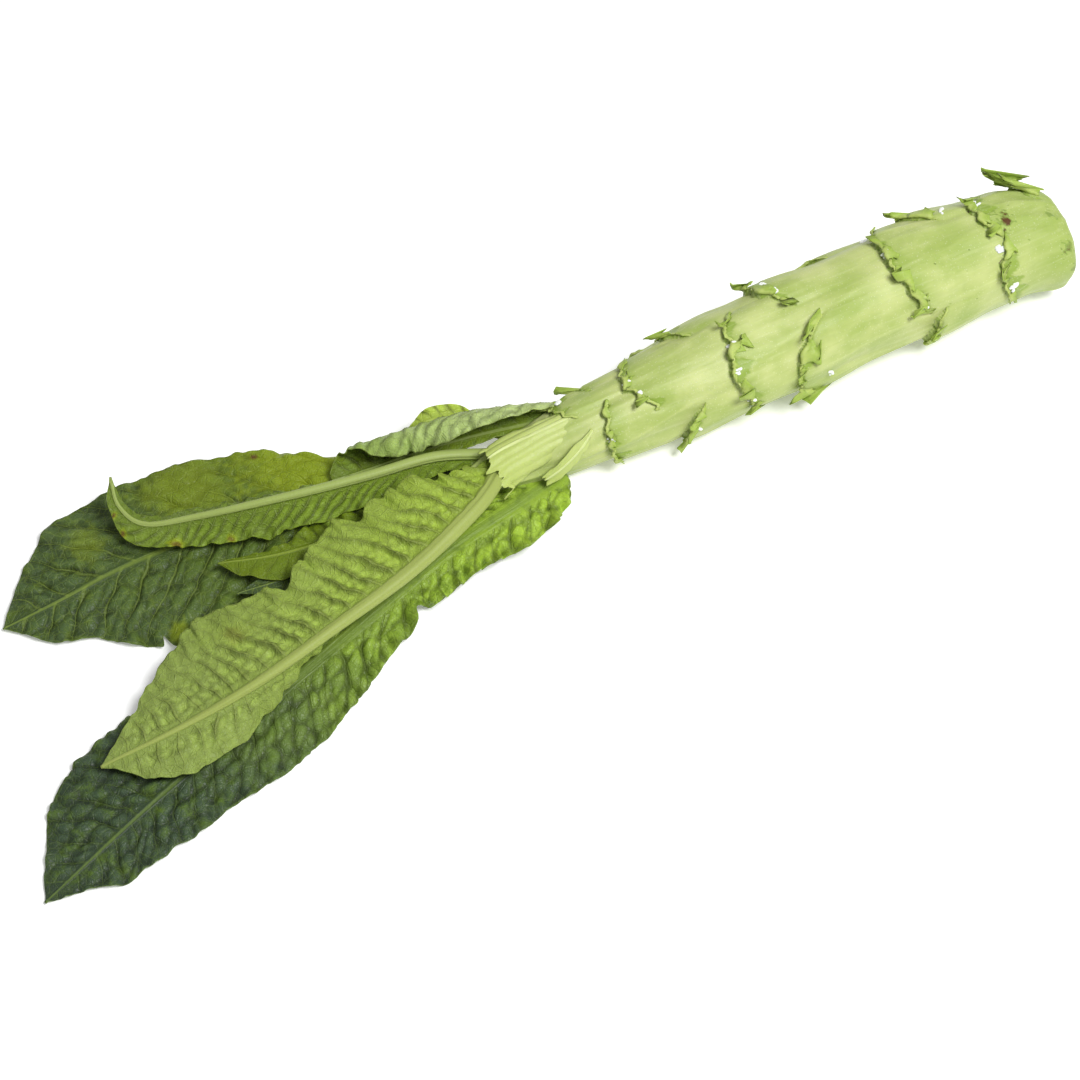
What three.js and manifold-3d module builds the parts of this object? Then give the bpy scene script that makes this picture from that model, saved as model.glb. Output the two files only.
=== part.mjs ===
// Celtuce (stem lettuce) as cut and trimmed for market, lying on a flat surface.
// A thick stem carries a tuft of whole leaves at its narrow end and the torn bases of the
// leaves that were pulled off along its length.
// Millimetres. The neck of the stem is at x = 0, +X runs along the stem to the cut base,
// +Z is up, and the surface is z = 0. Angles round the stem start at -Y and pass through +Z.
import * as THREE from 'three';
import { mergeVertices } from 'three/addons/utils/BufferGeometryUtils.js';
import Module from 'manifold-3d';

const wasm = await Module();
wasm.setup();

// ---------------------------------------------------------------- driving dimensions
const STEM_LENGTH = 300; // neck to cut base
const APEX_LENGTH = 38; // growing tip hidden in the tuft
const LEAF_THICKNESS = 1.2;
const STEM_CLEARANCE = 0.5; // between the stem and what grows on it
const REST_WIDTH_DEGREES = 10; // the flat along the bottom of the stem

const STEM_SIDES = 28;
const STEM_RINGS = 44;
const TIP_HALF_WIDTH = 1; // keeps a leaf's tip from closing to a point

// [distance from the neck, radius]
const STEM_PROFILE = [
  [-APEX_LENGTH, 6],
  [-30, 9],
  [-18, 12],
  [0, 15.5],
  [20, 18],
  [46, 20],
  [71, 23],
  [104, 26.5],
  [161, 28.5],
  [240, 29.5],
  [275, 29],
  [290, 26],
  [STEM_LENGTH, 20],
];
const BASE_BEND_START = 270; // the last stretch leans a little towards -Y
const BASE_BEND = -6;

// Torn leaf bases in the order they grew, base end last. at: distance of the torn edge from
// the neck; turn: its middle, round the stem; span: half its width; sweep: how far its ends
// run back towards the base; rise: how far it stands above the stem below it; flap: whether a
// piece of the leaf base is left standing there.
const SCARS = [
  { at: 13, turn: 125, span: 40, sweep: 9, rise: 1.4, flap: true },
  { at: 27, turn: 158, span: 35, sweep: 9, rise: 1.2, flap: true },
  { at: 31, turn: 28, span: 62, sweep: 8, rise: 2.2, flap: true },
  { at: 49, turn: 98, span: 55, sweep: 12, rise: 2.4, flap: true },
  { at: 62, turn: 196, span: 50, sweep: 10, rise: 2.2, flap: true },
  { at: 72, turn: -19, span: 48, sweep: 12, rise: 2.4, flap: true },
  { at: 80, turn: 158, span: 45, sweep: 12, rise: 2, flap: true },
  { at: 100, turn: 50, span: 66, sweep: 14, rise: 2.8, flap: true },
  { at: 112, turn: 265, span: 50, sweep: 14, rise: 0.8, flap: false },
  { at: 130, turn: 145, span: 58, sweep: 14, rise: 2.6, flap: true },
  { at: 132, turn: 15, span: 55, sweep: 24, rise: 2.6, flap: true },
  { at: 165, turn: 196, span: 52, sweep: 14, rise: 2.4, flap: true },
  { at: 197, turn: 88, span: 70, sweep: 14, rise: 3, flap: true },
  { at: 210, turn: -20, span: 48, sweep: 12, rise: 2.4, flap: true },
  { at: 222, turn: 165, span: 55, sweep: 14, rise: 2.6, flap: true },
  { at: 236, turn: 262, span: 50, sweep: 14, rise: 0.8, flap: false },
  { at: 252, turn: 98, span: 34, sweep: 8, rise: 1.8, flap: true },
  { at: 253, turn: 25, span: 45, sweep: 9, rise: 1.8, flap: true },
  { at: 284, turn: 130, span: 30, sweep: 6, rise: 1, flap: true },
];
const SCALE_STEP = 5; // the torn edge's slope
const SCALE_LENGTH = 48; // over which the swelling behind an edge dies away

// Whole leaves. A leaf follows its spine from base to tip. front and back are the half widths
// towards -Y and +Y at even steps along it, fold is each half's angle at the midrib, curl the
// turn it gathers out to the margin, and edge a last turn near the margin, in degrees.
const LEAVES = {
  lower_front_leaf: {
    colour: 0x3f6a1f,
    spine: [
      [8, -13, 12],
      [-20, -21, 15],
      [-64, -30, 15],
      [-115, -45, 11],
      [-165, -60, 8],
      [-215, -76, 6],
      [-262, -92, 4],
      [-308, -109, 1.5],
    ],
    front: { width: [8, 18, 20, 17, 19, 27, 32, 29, 25, 20, 0], fold: [-8, -8, -6, 0], curl: [-20, -12, -8, 0] },
    back: { width: [4, 11, 18, 24, 28, 33, 36, 41, 42, 35, 0], fold: [0, 0, 0, 0], curl: [-10, -8, -6, 0] },
  },
  lower_back_leaf: {
    colour: 0x36601f,
    spine: [
      [-12, 9, 11],
      [-75, 28, 9],
      [-131, 36, 7],
      [-175, 38, 6],
      [-213, 38, 5.5],
      [-245, 35, 4.5],
      [-275, 34, 2],
    ],
    front: { width: [4, 13, 23, 33, 41, 46, 52, 44, 27, 18, 0], fold: [-3, -3, -2, 0], curl: [-4, -4, -4, 0] },
    back: { width: [4, 8, 16, 34, 42, 46, 47, 44, 36, 22, 0], fold: [-3, -3, -2, 0], curl: [-6, -5, -4, 0] },
  },
  folded_leaf: {
    colour: 0x7fa34a,
    spine: [
      [-22, 8, 20],
      [-49, 16, 25],
      [-81, 20, 26],
      [-112, 25, 26],
      [-142, 32, 24],
      [-168, 40, 20],
      [-192, 49, 17],
      [-200, 63, 19],
      [-198, 78, 24],
    ],
    front: {
      width: [2, 8, 13, 15, 17, 17, 15, 12, 8, 5, 0],
      fold: [-45, -50, -48, -40, -10, 0],
      edge: [0, 30, 40, 30, 10, 0],
    },
    back: { width: [2, 6, 9, 11, 12, 11, 9, 7, 4, 3, 0], fold: [-45, -48, -46, -36, -10, 0] },
  },
  inner_leaf: {
    colour: 0x8db83c,
    spine: [
      [-39, 2, 16],
      [-85, 3, 13],
      [-115, 3, 13],
      [-142, 7, 13],
      [-168, 15, 13],
    ],
    front: { width: [3, 6, 9, 10, 11, 13, 14, 14, 12, 8, 0], fold: [-3, -3, -3] },
    back: { width: [3, 7, 9, 11, 12, 12, 9, 5, 3, 2, 0], fold: [0, 0, 4] },
  },
  small_inner_leaf: {
    colour: 0x5f8a2c,
    spine: [
      [-39, -4, 12],
      [-100, -6, 9.5],
      [-135, -6, 9.5],
      [-166, -3, 9.5],
    ],
    front: { width: [2, 6, 7, 7, 0] },
    back: { width: [2, 5, 7, 7, 0] },
  },
  upper_front_leaf: {
    colour: 0xa3c46a,
    spine: [
      [-22, -5, 24.5],
      [-44, -22, 30],
      [-86, -39, 29],
      [-131, -50, 27],
      [-175, -59, 24],
      [-216, -62, 18],
      [-260, -61, 11],
    ],
    front: {
      width: [4, 8, 9, 9, 9, 9, 12, 18, 22, 19, 0],
      fold: [-60, -78, -80, -74, -45, -14, 0],
    },
    back: {
      width: [9, 22, 34, 44, 48, 41, 44, 51, 40, 21, 0],
      fold: [14, 10, 4, -2, -5, -3, 0],
      curl: [-16, -14, -12, -9, -5, -3, 0],
    },
  },
  curled_back_leaf: {
    colour: 0x9dbb7a,
    spine: [
      [-6, 12, 21],
      [-28, 24, 18],
      [-52, 28, 15],
      [-76, 31, 13],
      [-98, 34, 12],
    ],
    front: { width: [1, 4, 9, 8, 0] },
    back: { width: [12, 26, 34, 30, 4], fold: [20, 10, 0, 0, 0], curl: [150, 200, 240, 200, 40] },
  },
  crest_leaf: {
    colour: 0xa9c23f,
    spine: [
      [-2, 12, 13],
      [-18, 27, 16],
      [-34, 38, 24],
      [-49, 42, 26],
      [-64, 46, 22],
    ],
    front: { width: [2, 4, 4, 3, 0] },
    back: { width: [2, 5, 7, 6, 0] },
    roll: [-10, -30, -35, -30],
  },
  torn_sheath: {
    colour: 0xc3d68a,
    spine: [
      [12, 2, 34.5],
      [-6, 1, 35],
      [-21, 0, 34.8],
      [-31, -2, 34],
    ],
    front: { width: [12, 17, 21, 23], curl: [-60, -72, -75, -70] },
    back: { width: [7, 8, 8, 7], curl: [-40, -50, -50, -40] },
  },
  front_leaf_tongue: {
    colour: 0xb7d574,
    spine: [
      [26, -10, 34],
      [16, -15, 30],
      [6, -17.5, 25.5],
      [-5, -18.5, 21],
    ],
    front: { width: [1.5, 4, 5, 4] },
    back: { width: [1.5, 4, 4, 3] },
    roll: [-62, -68, -72, -76],
  },
};
const LEAF_STEPS_ALONG = 18;
const LEAF_STEPS_ACROSS = 6;
const SECTION_STEPS = 16; // for adding up a half leaf's section

const FLAP_LENGTH = 10; // along the stem
const FLAP_HELD = 6; // of that, behind the torn edge
const FLAP_LIFT = 2.5; // the free edge's height above the stem
const FLAP_SPAN = 0.62; // of the scar's own span
const FLAP_REACH_DEGREES = 8; // how far round a flap looks for the stem's highest place

const STEM_COLOUR = 0xc2d692;
const FLAP_COLOUR = 0xb4cf7a;

// ---------------------------------------------------------------- small helpers
const { clamp, degToRad, lerp, smoothstep } = THREE.MathUtils;

/** A smooth curve through evenly spaced values, at u from 0 to 1. */
function through(values, u) {
  const last = values.length - 1;
  const place = clamp(u, 0, 1) * last;
  const i = Math.min(Math.floor(place), last - 1);
  const t = place - i;
  const p1 = values[i];
  const p2 = values[i + 1];
  const p0 = i > 0 ? values[i - 1] : 2 * p1 - p2;
  const p3 = i + 2 <= last ? values[i + 2] : 2 * p2 - p1;
  const cubic = (3 * p1 - p0 - 3 * p2 + p3) * t ** 3;
  return 0.5 * (2 * p1 + (p2 - p0) * t + (2 * p0 - 5 * p1 + 4 * p2 - p3) * t ** 2 + cubic);
}

function pointThrough(points, u) {
  return new THREE.Vector3(...[0, 1, 2].map((k) => through(points.map((p) => p[k]), u)));
}

/** Straight lines through [x, value] pairs. */
function between(pairs, x) {
  for (let i = 1; i < pairs.length; i++) {
    const [x0, v0] = pairs[i - 1];
    const [x1, v1] = pairs[i];
    if (x <= x1) return lerp(v0, v1, clamp((x - x0) / (x1 - x0), 0, 1));
  }
  return pairs.at(-1)[1];
}

/** An angle in degrees brought to within half a turn of zero. */
function nearZero(degrees) {
  return ((((degrees + 180) % 360) + 360) % 360) - 180;
}

/** Moves every vertex of a closed three.js shape to the point that shapePoint gives for it. */
function reshaped(geometry, shapePoint) {
  geometry.deleteAttribute('normal');
  geometry.deleteAttribute('uv');
  const closed = mergeVertices(geometry);
  const position = closed.getAttribute('position');
  const vertex = new THREE.Vector3();
  for (let i = 0; i < position.count; i++) {
    const moved = shapePoint(vertex.fromBufferAttribute(position, i));
    position.setXYZ(i, moved.x, moved.y, moved.z);
  }
  closed.computeVertexNormals();
  return closed;
}

function piece(name, geometry, colour, roughness) {
  const material = new THREE.MeshStandardMaterial({ color: colour, roughness, metalness: 0 });
  const mesh = new THREE.Mesh(geometry, material);
  mesh.name = name;
  return mesh;
}

// ---------------------------------------------------------------- stem
/** How far the swollen leaf bases stand above the plain stem at a place. */
function swelling(x, degrees) {
  let height = 0;
  for (const scar of SCARS) {
    const across = nearZero(degrees - scar.turn) / scar.span;
    if (Math.abs(across) >= 1) continue;
    const behind = x - (scar.at + scar.sweep * across ** 2);
    const along = smoothstep(behind, 0, SCALE_STEP) * (1 - smoothstep(behind, SCALE_STEP, SCALE_LENGTH));
    height = Math.max(height, scar.rise * along * (1 - across ** 4));
  }
  return height;
}

/** The point of the stem, or this far above it, at a distance from the neck and an angle. */
function stemPoint(x, degrees, above = 0) {
  const radius = between(STEM_PROFILE, x);
  const outwards = radius + swelling(x, degrees) + above;
  const y = BASE_BEND * smoothstep(x, BASE_BEND_START, STEM_LENGTH) - outwards * Math.cos(degToRad(degrees));
  const z = radius + outwards * Math.sin(degToRad(degrees));
  return new THREE.Vector3(x, y, x < 0 ? z + between([[-APEX_LENGTH, 9], [0, 0]], x) : z);
}

function stem(above = 0) {
  const tube = new THREE.CylinderGeometry(1, 1, 1, STEM_SIDES, STEM_RINGS);
  tube.rotateZ(-Math.PI / 2);
  // Half a side's turn lays one side flat along the bottom.
  tube.rotateX(Math.PI / STEM_SIDES);
  return reshaped(tube, (vertex) => {
    const x = lerp(-APEX_LENGTH, STEM_LENGTH, vertex.x + 0.5);
    const degrees = THREE.MathUtils.radToDeg(Math.atan2(vertex.z, -vertex.y));
    const fromAxis = Math.min(Math.hypot(vertex.y, vertex.z), 1);
    const centre = stemPoint(x, 0, -between(STEM_PROFILE, x) - swelling(x, 0));
    const point = centre.lerp(stemPoint(x, degrees, above), fromAxis);
    const atBottom = Math.abs(nearZero(degrees + 90)) < REST_WIDTH_DEGREES && x > 0;
    point.z = Math.max(point.z, 0);
    if (atBottom && fromAxis > 0.5) point.z = 0;
    return point;
  });
}

// ---------------------------------------------------------------- leaves
/** The reach of a half leaf's section, sideways and up, out to the part q of its width. */
function sectionReach(half, u, q) {
  const width = Math.max(through(half.width, u), TIP_HALF_WIDTH);
  const fold = through(half.fold ?? [0, 0], u);
  const curl = through(half.curl ?? [0, 0], u);
  const edge = through(half.edge ?? [0, 0], u);
  let sideways = 0;
  let up = 0;
  for (let i = 0; i < SECTION_STEPS; i++) {
    const at = ((i + 0.5) / SECTION_STEPS) * q;
    const angle = degToRad(fold + curl * at + edge * smoothstep(at, 0.6, 1));
    sideways += (Math.cos(angle) * width * q) / SECTION_STEPS;
    up += (Math.sin(angle) * width * q) / SECTION_STEPS;
  }
  return { sideways, up };
}

/** A point on a leaf's middle surface: u from base to tip, s from -1 (back) to 1 (front). */
function leafPoint(leaf, u, s) {
  const step = 0.004;
  const ahead = pointThrough(leaf.spine, Math.min(u + step, 1));
  const along = ahead.sub(pointThrough(leaf.spine, Math.max(u - step, 0))).normalize();
  const side = new THREE.Vector3(0, 0, 1).cross(along).normalize();
  const up = along.clone().cross(side);
  const roll = degToRad(through(leaf.roll ?? [0, 0], u));
  side.applyAxisAngle(along, roll);
  up.applyAxisAngle(along, roll);
  const reach = sectionReach(s > 0 ? leaf.front : leaf.back, u, Math.abs(s));
  const point = pointThrough(leaf.spine, u);
  return point.addScaledVector(side, Math.sign(s) * reach.sideways).addScaledVector(up, reach.up);
}

function solid(geometry) {
  const vertProperties = new Float32Array(geometry.getAttribute('position').array);
  const triVerts = new Uint32Array(geometry.index.array);
  return new wasm.Manifold(new wasm.Mesh({ numProp: 3, vertProperties, triVerts }));
}

/** The leaf without what would lie inside the stem or in the gap round it. */
function clearOfStem(geometry) {
  const cut = solid(geometry).subtract(solid(stem(STEM_CLEARANCE))).getMesh();
  const cleared = new THREE.BufferGeometry();
  cleared.setAttribute('position', new THREE.BufferAttribute(cut.vertProperties, 3));
  cleared.setIndex(new THREE.BufferAttribute(cut.triVerts, 1));
  cleared.computeVertexNormals();
  return cleared;
}

function leafBlade(leaf) {
  const sheet = new THREE.BoxGeometry(1, 1, 1, LEAF_STEPS_ALONG, LEAF_STEPS_ACROSS, 1);
  const step = 0.01;
  return reshaped(sheet, (vertex) => {
    const u = vertex.x + 0.5;
    const s = vertex.y * 2;
    const along = leafPoint(leaf, Math.min(u + step, 1), s).sub(leafPoint(leaf, Math.max(u - step, 0), s));
    const across = leafPoint(leaf, u, Math.min(s + step, 1)).sub(leafPoint(leaf, u, Math.max(s - step, -1)));
    const normal = along.cross(across).normalize();
    return leafPoint(leaf, u, s).addScaledVector(normal, vertex.z * LEAF_THICKNESS);
  });
}

// ---------------------------------------------------------------- torn leaf bases
/** The highest that the stem stands near a place, so that a flap clears every facet of it. */
function clearHeight(x, degrees) {
  let height = 0;
  for (const dx of [-FLAP_HELD, 0, FLAP_HELD]) {
    for (const turn of [-FLAP_REACH_DEGREES, 0, FLAP_REACH_DEGREES]) {
      const there = between(STEM_PROFILE, x + dx) + swelling(x + dx, degrees + turn);
      height = Math.max(height, there - between(STEM_PROFILE, x) - swelling(x, degrees));
    }
  }
  return height + STEM_CLEARANCE;
}

function tornFlap(scar) {
  const plate = new THREE.BoxGeometry(1, 1, 1, 3, 5, 1);
  return reshaped(plate, (vertex) => {
    const across = vertex.y * 2 * FLAP_SPAN;
    const free = 0.5 - vertex.x;
    const degrees = scar.turn + across * scar.span;
    const x = Math.min(scar.at + scar.sweep * across ** 2 + FLAP_HELD - FLAP_LENGTH * free, STEM_LENGTH - 2);
    const above = clearHeight(x, degrees) + FLAP_LIFT * free ** 2 + (vertex.z + 0.5) * LEAF_THICKNESS;
    return stemPoint(x, degrees, above);
  });
}

// ---------------------------------------------------------------- the plant
const celtuce = new THREE.Group();
celtuce.add(piece('stem', stem(), STEM_COLOUR, 0.55));
for (const [name, leaf] of Object.entries(LEAVES)) {
  celtuce.add(piece(name, clearOfStem(leafBlade(leaf)), leaf.colour, 0.5));
}
SCARS.filter((scar) => scar.flap).forEach((scar, i) => {
  const name = `torn_leaf_base_${String(i + 1).padStart(2, '0')}`;
  celtuce.add(piece(name, tornFlap(scar), FLAP_COLOUR, 0.6));
});

// The origin is at the middle of the bottom of the whole plant's box.
const bounds = new THREE.Box3().setFromObject(celtuce);
const middle = bounds.getCenter(new THREE.Vector3());
celtuce.position.set(-middle.x, -middle.y, -bounds.min.z);

export default celtuce;
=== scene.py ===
"""Looks of a celtuce (stem lettuce) lying on a pale floor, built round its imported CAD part.

The plant is worked out in millimetres in its own plan: the neck of the stem is at x = 0, +X runs
along the stem to the cut base, +Z is up and the floor is z = 0. Plan.place() turns those points
into the row frame's metres. Angles round the stem start at -Y and pass through +Z.
"""

import logging
import math
from dataclasses import dataclass, field
from enum import Enum

import bpy
import numpy as np
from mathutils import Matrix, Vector


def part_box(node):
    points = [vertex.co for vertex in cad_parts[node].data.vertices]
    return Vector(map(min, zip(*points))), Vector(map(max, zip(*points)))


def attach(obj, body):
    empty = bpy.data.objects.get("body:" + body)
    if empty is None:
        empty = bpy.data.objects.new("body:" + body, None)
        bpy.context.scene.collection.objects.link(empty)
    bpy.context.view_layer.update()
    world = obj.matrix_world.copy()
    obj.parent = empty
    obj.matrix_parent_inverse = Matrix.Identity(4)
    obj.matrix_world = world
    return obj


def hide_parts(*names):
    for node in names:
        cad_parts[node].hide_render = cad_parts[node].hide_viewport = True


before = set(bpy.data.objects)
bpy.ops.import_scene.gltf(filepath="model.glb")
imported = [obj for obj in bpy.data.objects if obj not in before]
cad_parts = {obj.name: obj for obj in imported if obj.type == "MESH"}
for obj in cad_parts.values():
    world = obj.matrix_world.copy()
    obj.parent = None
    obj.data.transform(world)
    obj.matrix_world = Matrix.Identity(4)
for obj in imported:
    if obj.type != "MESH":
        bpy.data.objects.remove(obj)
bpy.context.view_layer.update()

log = logging.getLogger("celtuce")

MM = 0.001
BODY = "root"
STEM_END = 300.0
STEM_BACK_REACH = 31.76
Colour = tuple[float, float, float]


class Side(Enum):
    """Which face of a leaf is turned up."""

    TOP = 1
    UNDERSIDE = -1


# ------------------------------------------------------------------ numbers over a surface


def hashed(ix: np.ndarray, iy: np.ndarray, seed: int) -> np.ndarray:
    """Gives each whole-number place its own steady value.

    Args:
        ix: Whole-number places along the first direction.
        iy: Whole-number places along the second direction.
        seed: Picks one of many patterns.

    Returns:
        Values from 0 to 1.
    """
    mask = 0xFFFFFFFF
    mixed = (ix.astype(np.int64) * 374761393 + iy.astype(np.int64) * 668265263 + seed * 974634777) & mask
    mixed = ((mixed ^ (mixed >> 13)) * 1274126177) & mask
    mixed = ((mixed ^ (mixed >> 16)) * 2246822519) & mask
    return (mixed ^ (mixed >> 15)) / mask


def smooth(value: np.ndarray, low: float, high: float) -> np.ndarray:
    """Eases from 0 at low to 1 at high."""
    t = np.clip((np.asarray(value, float) - low) / (high - low), 0, 1)
    return t * t * (3 - 2 * t)


def noise(x: np.ndarray, y: np.ndarray, seed: int, octaves: int = 1) -> np.ndarray:
    """Smooth random hills, one unit apart.

    Args:
        x: First coordinate.
        y: Second coordinate.
        seed: Picks the pattern.
        octaves: How many finer layers are added up.

    Returns:
        Values round 0, mostly from -1 to 1.
    """
    total = np.zeros(np.broadcast(x, y).shape)
    for layer in range(octaves):
        scale = 2.0**layer
        fx = np.asarray(x, float) * scale + 17.3 * layer
        fy = np.asarray(y, float) * scale - 9.1 * layer
        ix, iy = np.floor(fx), np.floor(fy)
        tx, ty = smooth(fx - ix, 0, 1), smooth(fy - iy, 0, 1)
        near = hashed(ix, iy, seed) * (1 - tx) + hashed(ix + 1, iy, seed) * tx
        far = hashed(ix, iy + 1, seed) * (1 - tx) + hashed(ix + 1, iy + 1, seed) * tx
        total += ((near * (1 - ty) + far * ty) * 2 - 1) / scale
    return total


def cells(x: np.ndarray, y: np.ndarray, seed: int) -> tuple[np.ndarray, np.ndarray]:
    """Distances to the nearest two of many scattered points, about one unit apart.

    Args:
        x: First coordinate.
        y: Second coordinate.
        seed: Picks the pattern.

    Returns:
        The distance to the nearest point and to the next nearest.
    """
    first = np.full(x.shape, 9.0)
    second = np.full(x.shape, 9.0)
    ix, iy = np.floor(x), np.floor(y)
    for dx in (-1, 0, 1):
        for dy in (-1, 0, 1):
            px = ix + dx + 0.15 + 0.7 * hashed(ix + dx, iy + dy, seed)
            py = iy + dy + 0.15 + 0.7 * hashed(ix + dx, iy + dy, seed + 51)
            away = np.hypot(x - px, y - py)
            second = np.where(away < first, first, np.minimum(second, away))
            first = np.minimum(first, away)
    return first, second


def through(values: list, u: np.ndarray) -> np.ndarray:
    """A smooth curve through evenly spaced values or points, at u from 0 to 1."""
    held = np.asarray(values, float)
    last = len(held) - 1
    place = np.clip(np.asarray(u, float), 0, 1) * last
    i = np.minimum(place.astype(int), last - 1)
    t = place - i
    held = np.concatenate([[2 * held[0] - held[1]], held, [2 * held[-1] - held[-2]]])
    p0, p1, p2, p3 = held[i], held[i + 1], held[i + 2], held[i + 3]
    if held.ndim > 1:
        t = t[..., None]
    return 0.5 * (
        2 * p1 + (p2 - p0) * t + (2 * p0 - 5 * p1 + 4 * p2 - p3) * t**2 + (3 * p1 - p0 - 3 * p2 + p3) * t**3
    )


def unit(vectors: np.ndarray) -> np.ndarray:
    """The same directions at length 1."""
    return vectors / np.maximum(np.linalg.norm(vectors, axis=-1, keepdims=True), 1e-12)


def near_zero(degrees: np.ndarray) -> np.ndarray:
    """Angles in degrees brought to within half a turn of zero."""
    return (np.asarray(degrees, float) + 180) % 360 - 180


# ------------------------------------------------------------------ meshes


class Plan:
    """Turns points of the plant's own plan, in millimetres, into the row frame's metres."""

    def __init__(self) -> None:
        low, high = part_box("stem")
        self.shift = np.array([high.x / MM - STEM_END, high.y / MM - STEM_BACK_REACH, 0.0])

    def place(self, points: np.ndarray) -> np.ndarray:
        """Row frame metres of points in millimetres."""
        return (np.asarray(points, float) + self.shift) * MM


def select_only(piece: bpy.types.Object) -> None:
    """Leaves piece as the only thing selected, and active."""
    bpy.ops.object.select_all(action="DESELECT")
    piece.select_set(True)
    bpy.context.view_layer.objects.active = piece


def set_points(piece: bpy.types.Object, points: np.ndarray) -> None:
    """Moves every vertex of piece."""
    piece.data.vertices.foreach_set("co", np.ascontiguousarray(points, np.float32).ravel())
    piece.data.update()


def get_points(piece: bpy.types.Object) -> np.ndarray:
    """The places of the vertices of piece."""
    points = np.zeros(len(piece.data.vertices) * 3, np.float32)
    piece.data.vertices.foreach_get("co", points)
    return points.reshape(-1, 3).astype(float)


def new_grid(name: str, columns: int, rows: int) -> tuple[bpy.types.Object, np.ndarray, np.ndarray]:
    """Adds a flat grid to be shaped.

    Args:
        name: The new object's name.
        columns: Faces along x.
        rows: Faces along y.

    Returns:
        The object, and each vertex's column and row.
    """
    bpy.ops.object.select_all(action="DESELECT")
    bpy.ops.mesh.primitive_grid_add(x_subdivisions=columns, y_subdivisions=rows, size=2)
    piece = bpy.context.object
    piece.name = name
    piece.data.name = name
    flat = get_points(piece)
    column = np.rint((flat[:, 0] + 1) / 2 * columns).astype(int)
    row = np.rint((flat[:, 1] + 1) / 2 * rows).astype(int)
    return piece, column, row


def thicken(piece: bpy.types.Object, thickness: float) -> None:
    """Gives a sheet a thickness in metres, half to each side. Its own vertices stay first."""
    select_only(piece)
    shell = piece.modifiers.new("thickness", "SOLIDIFY")
    shell.thickness = thickness
    shell.offset = 0.0
    shell.use_even_offset = False
    bpy.ops.object.modifier_apply(modifier=shell.name)


def vertex_normals(piece: bpy.types.Object) -> np.ndarray:
    """Outward directions at the vertices of piece."""
    normals = np.zeros(len(piece.data.vertices) * 3, np.float32)
    piece.data.vertex_normals.foreach_get("vector", normals)
    return normals.reshape(-1, 3).astype(float)


def set_attribute(piece: bpy.types.Object, name: str, values: np.ndarray) -> None:
    """Stores three numbers per vertex under a name that materials read."""
    layer = piece.data.attributes.new(name, "FLOAT_VECTOR", "POINT")
    layer.data.foreach_set("vector", np.ascontiguousarray(values, np.float32).ravel())


def set_uv(piece: bpy.types.Object, values: np.ndarray) -> None:
    """Replaces the UV map of piece with two numbers per vertex."""
    while piece.data.uv_layers:
        piece.data.uv_layers.remove(piece.data.uv_layers[0])
    layer = piece.data.uv_layers.new(name="surface")
    corner = np.zeros(len(piece.data.loops), np.int32)
    piece.data.loops.foreach_get("vertex_index", corner)
    layer.data.foreach_set("uv", np.ascontiguousarray(values[corner], np.float32).ravel())


def hand_over(piece: bpy.types.Object, node: str, material: bpy.types.Material) -> None:
    """Shades piece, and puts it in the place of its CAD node."""
    piece.data.materials.clear()
    piece.data.materials.append(material)
    select_only(piece)
    bpy.ops.object.shade_smooth()
    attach(piece, BODY)
    if node:
        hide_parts(node)
    log.info("%s: %d triangles", piece.name, sum(len(p.vertices) - 2 for p in piece.data.polygons))


# ------------------------------------------------------------------ materials


@dataclass(frozen=True)
class LeafFinish:
    """Colours of a leaf, in linear light."""

    top_base: Colour
    top_tip: Colour
    under_base: Colour
    under_tip: Colour
    rib: Colour
    rim: Colour
    dapple: Colour
    vein: float = 0.35
    net: float = 0.25
    roughness: float = 0.5
    ramp: tuple[float, float] = (0.02, 0.92)


@dataclass(frozen=True)
class StemFinish:
    """Colours of the stem's skin and of its cut face, in linear light."""

    skin: Colour = (0.365, 0.452, 0.125)
    pale: Colour = (0.53, 0.585, 0.235)
    green: Colour = (0.245, 0.355, 0.050)
    bruise: Colour = (0.10, 0.045, 0.015)
    flesh: Colour = (0.70, 0.74, 0.42)
    roughness: float = 0.42


@dataclass(frozen=True)
class TatterFinish:
    """Colours of the torn leaf bases, in linear light."""

    root: Colour = (0.43, 0.52, 0.140)
    edge: Colour = (0.32, 0.44, 0.075)
    bruise: Colour = (0.09, 0.035, 0.012)
    roughness: float = 0.5


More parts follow.
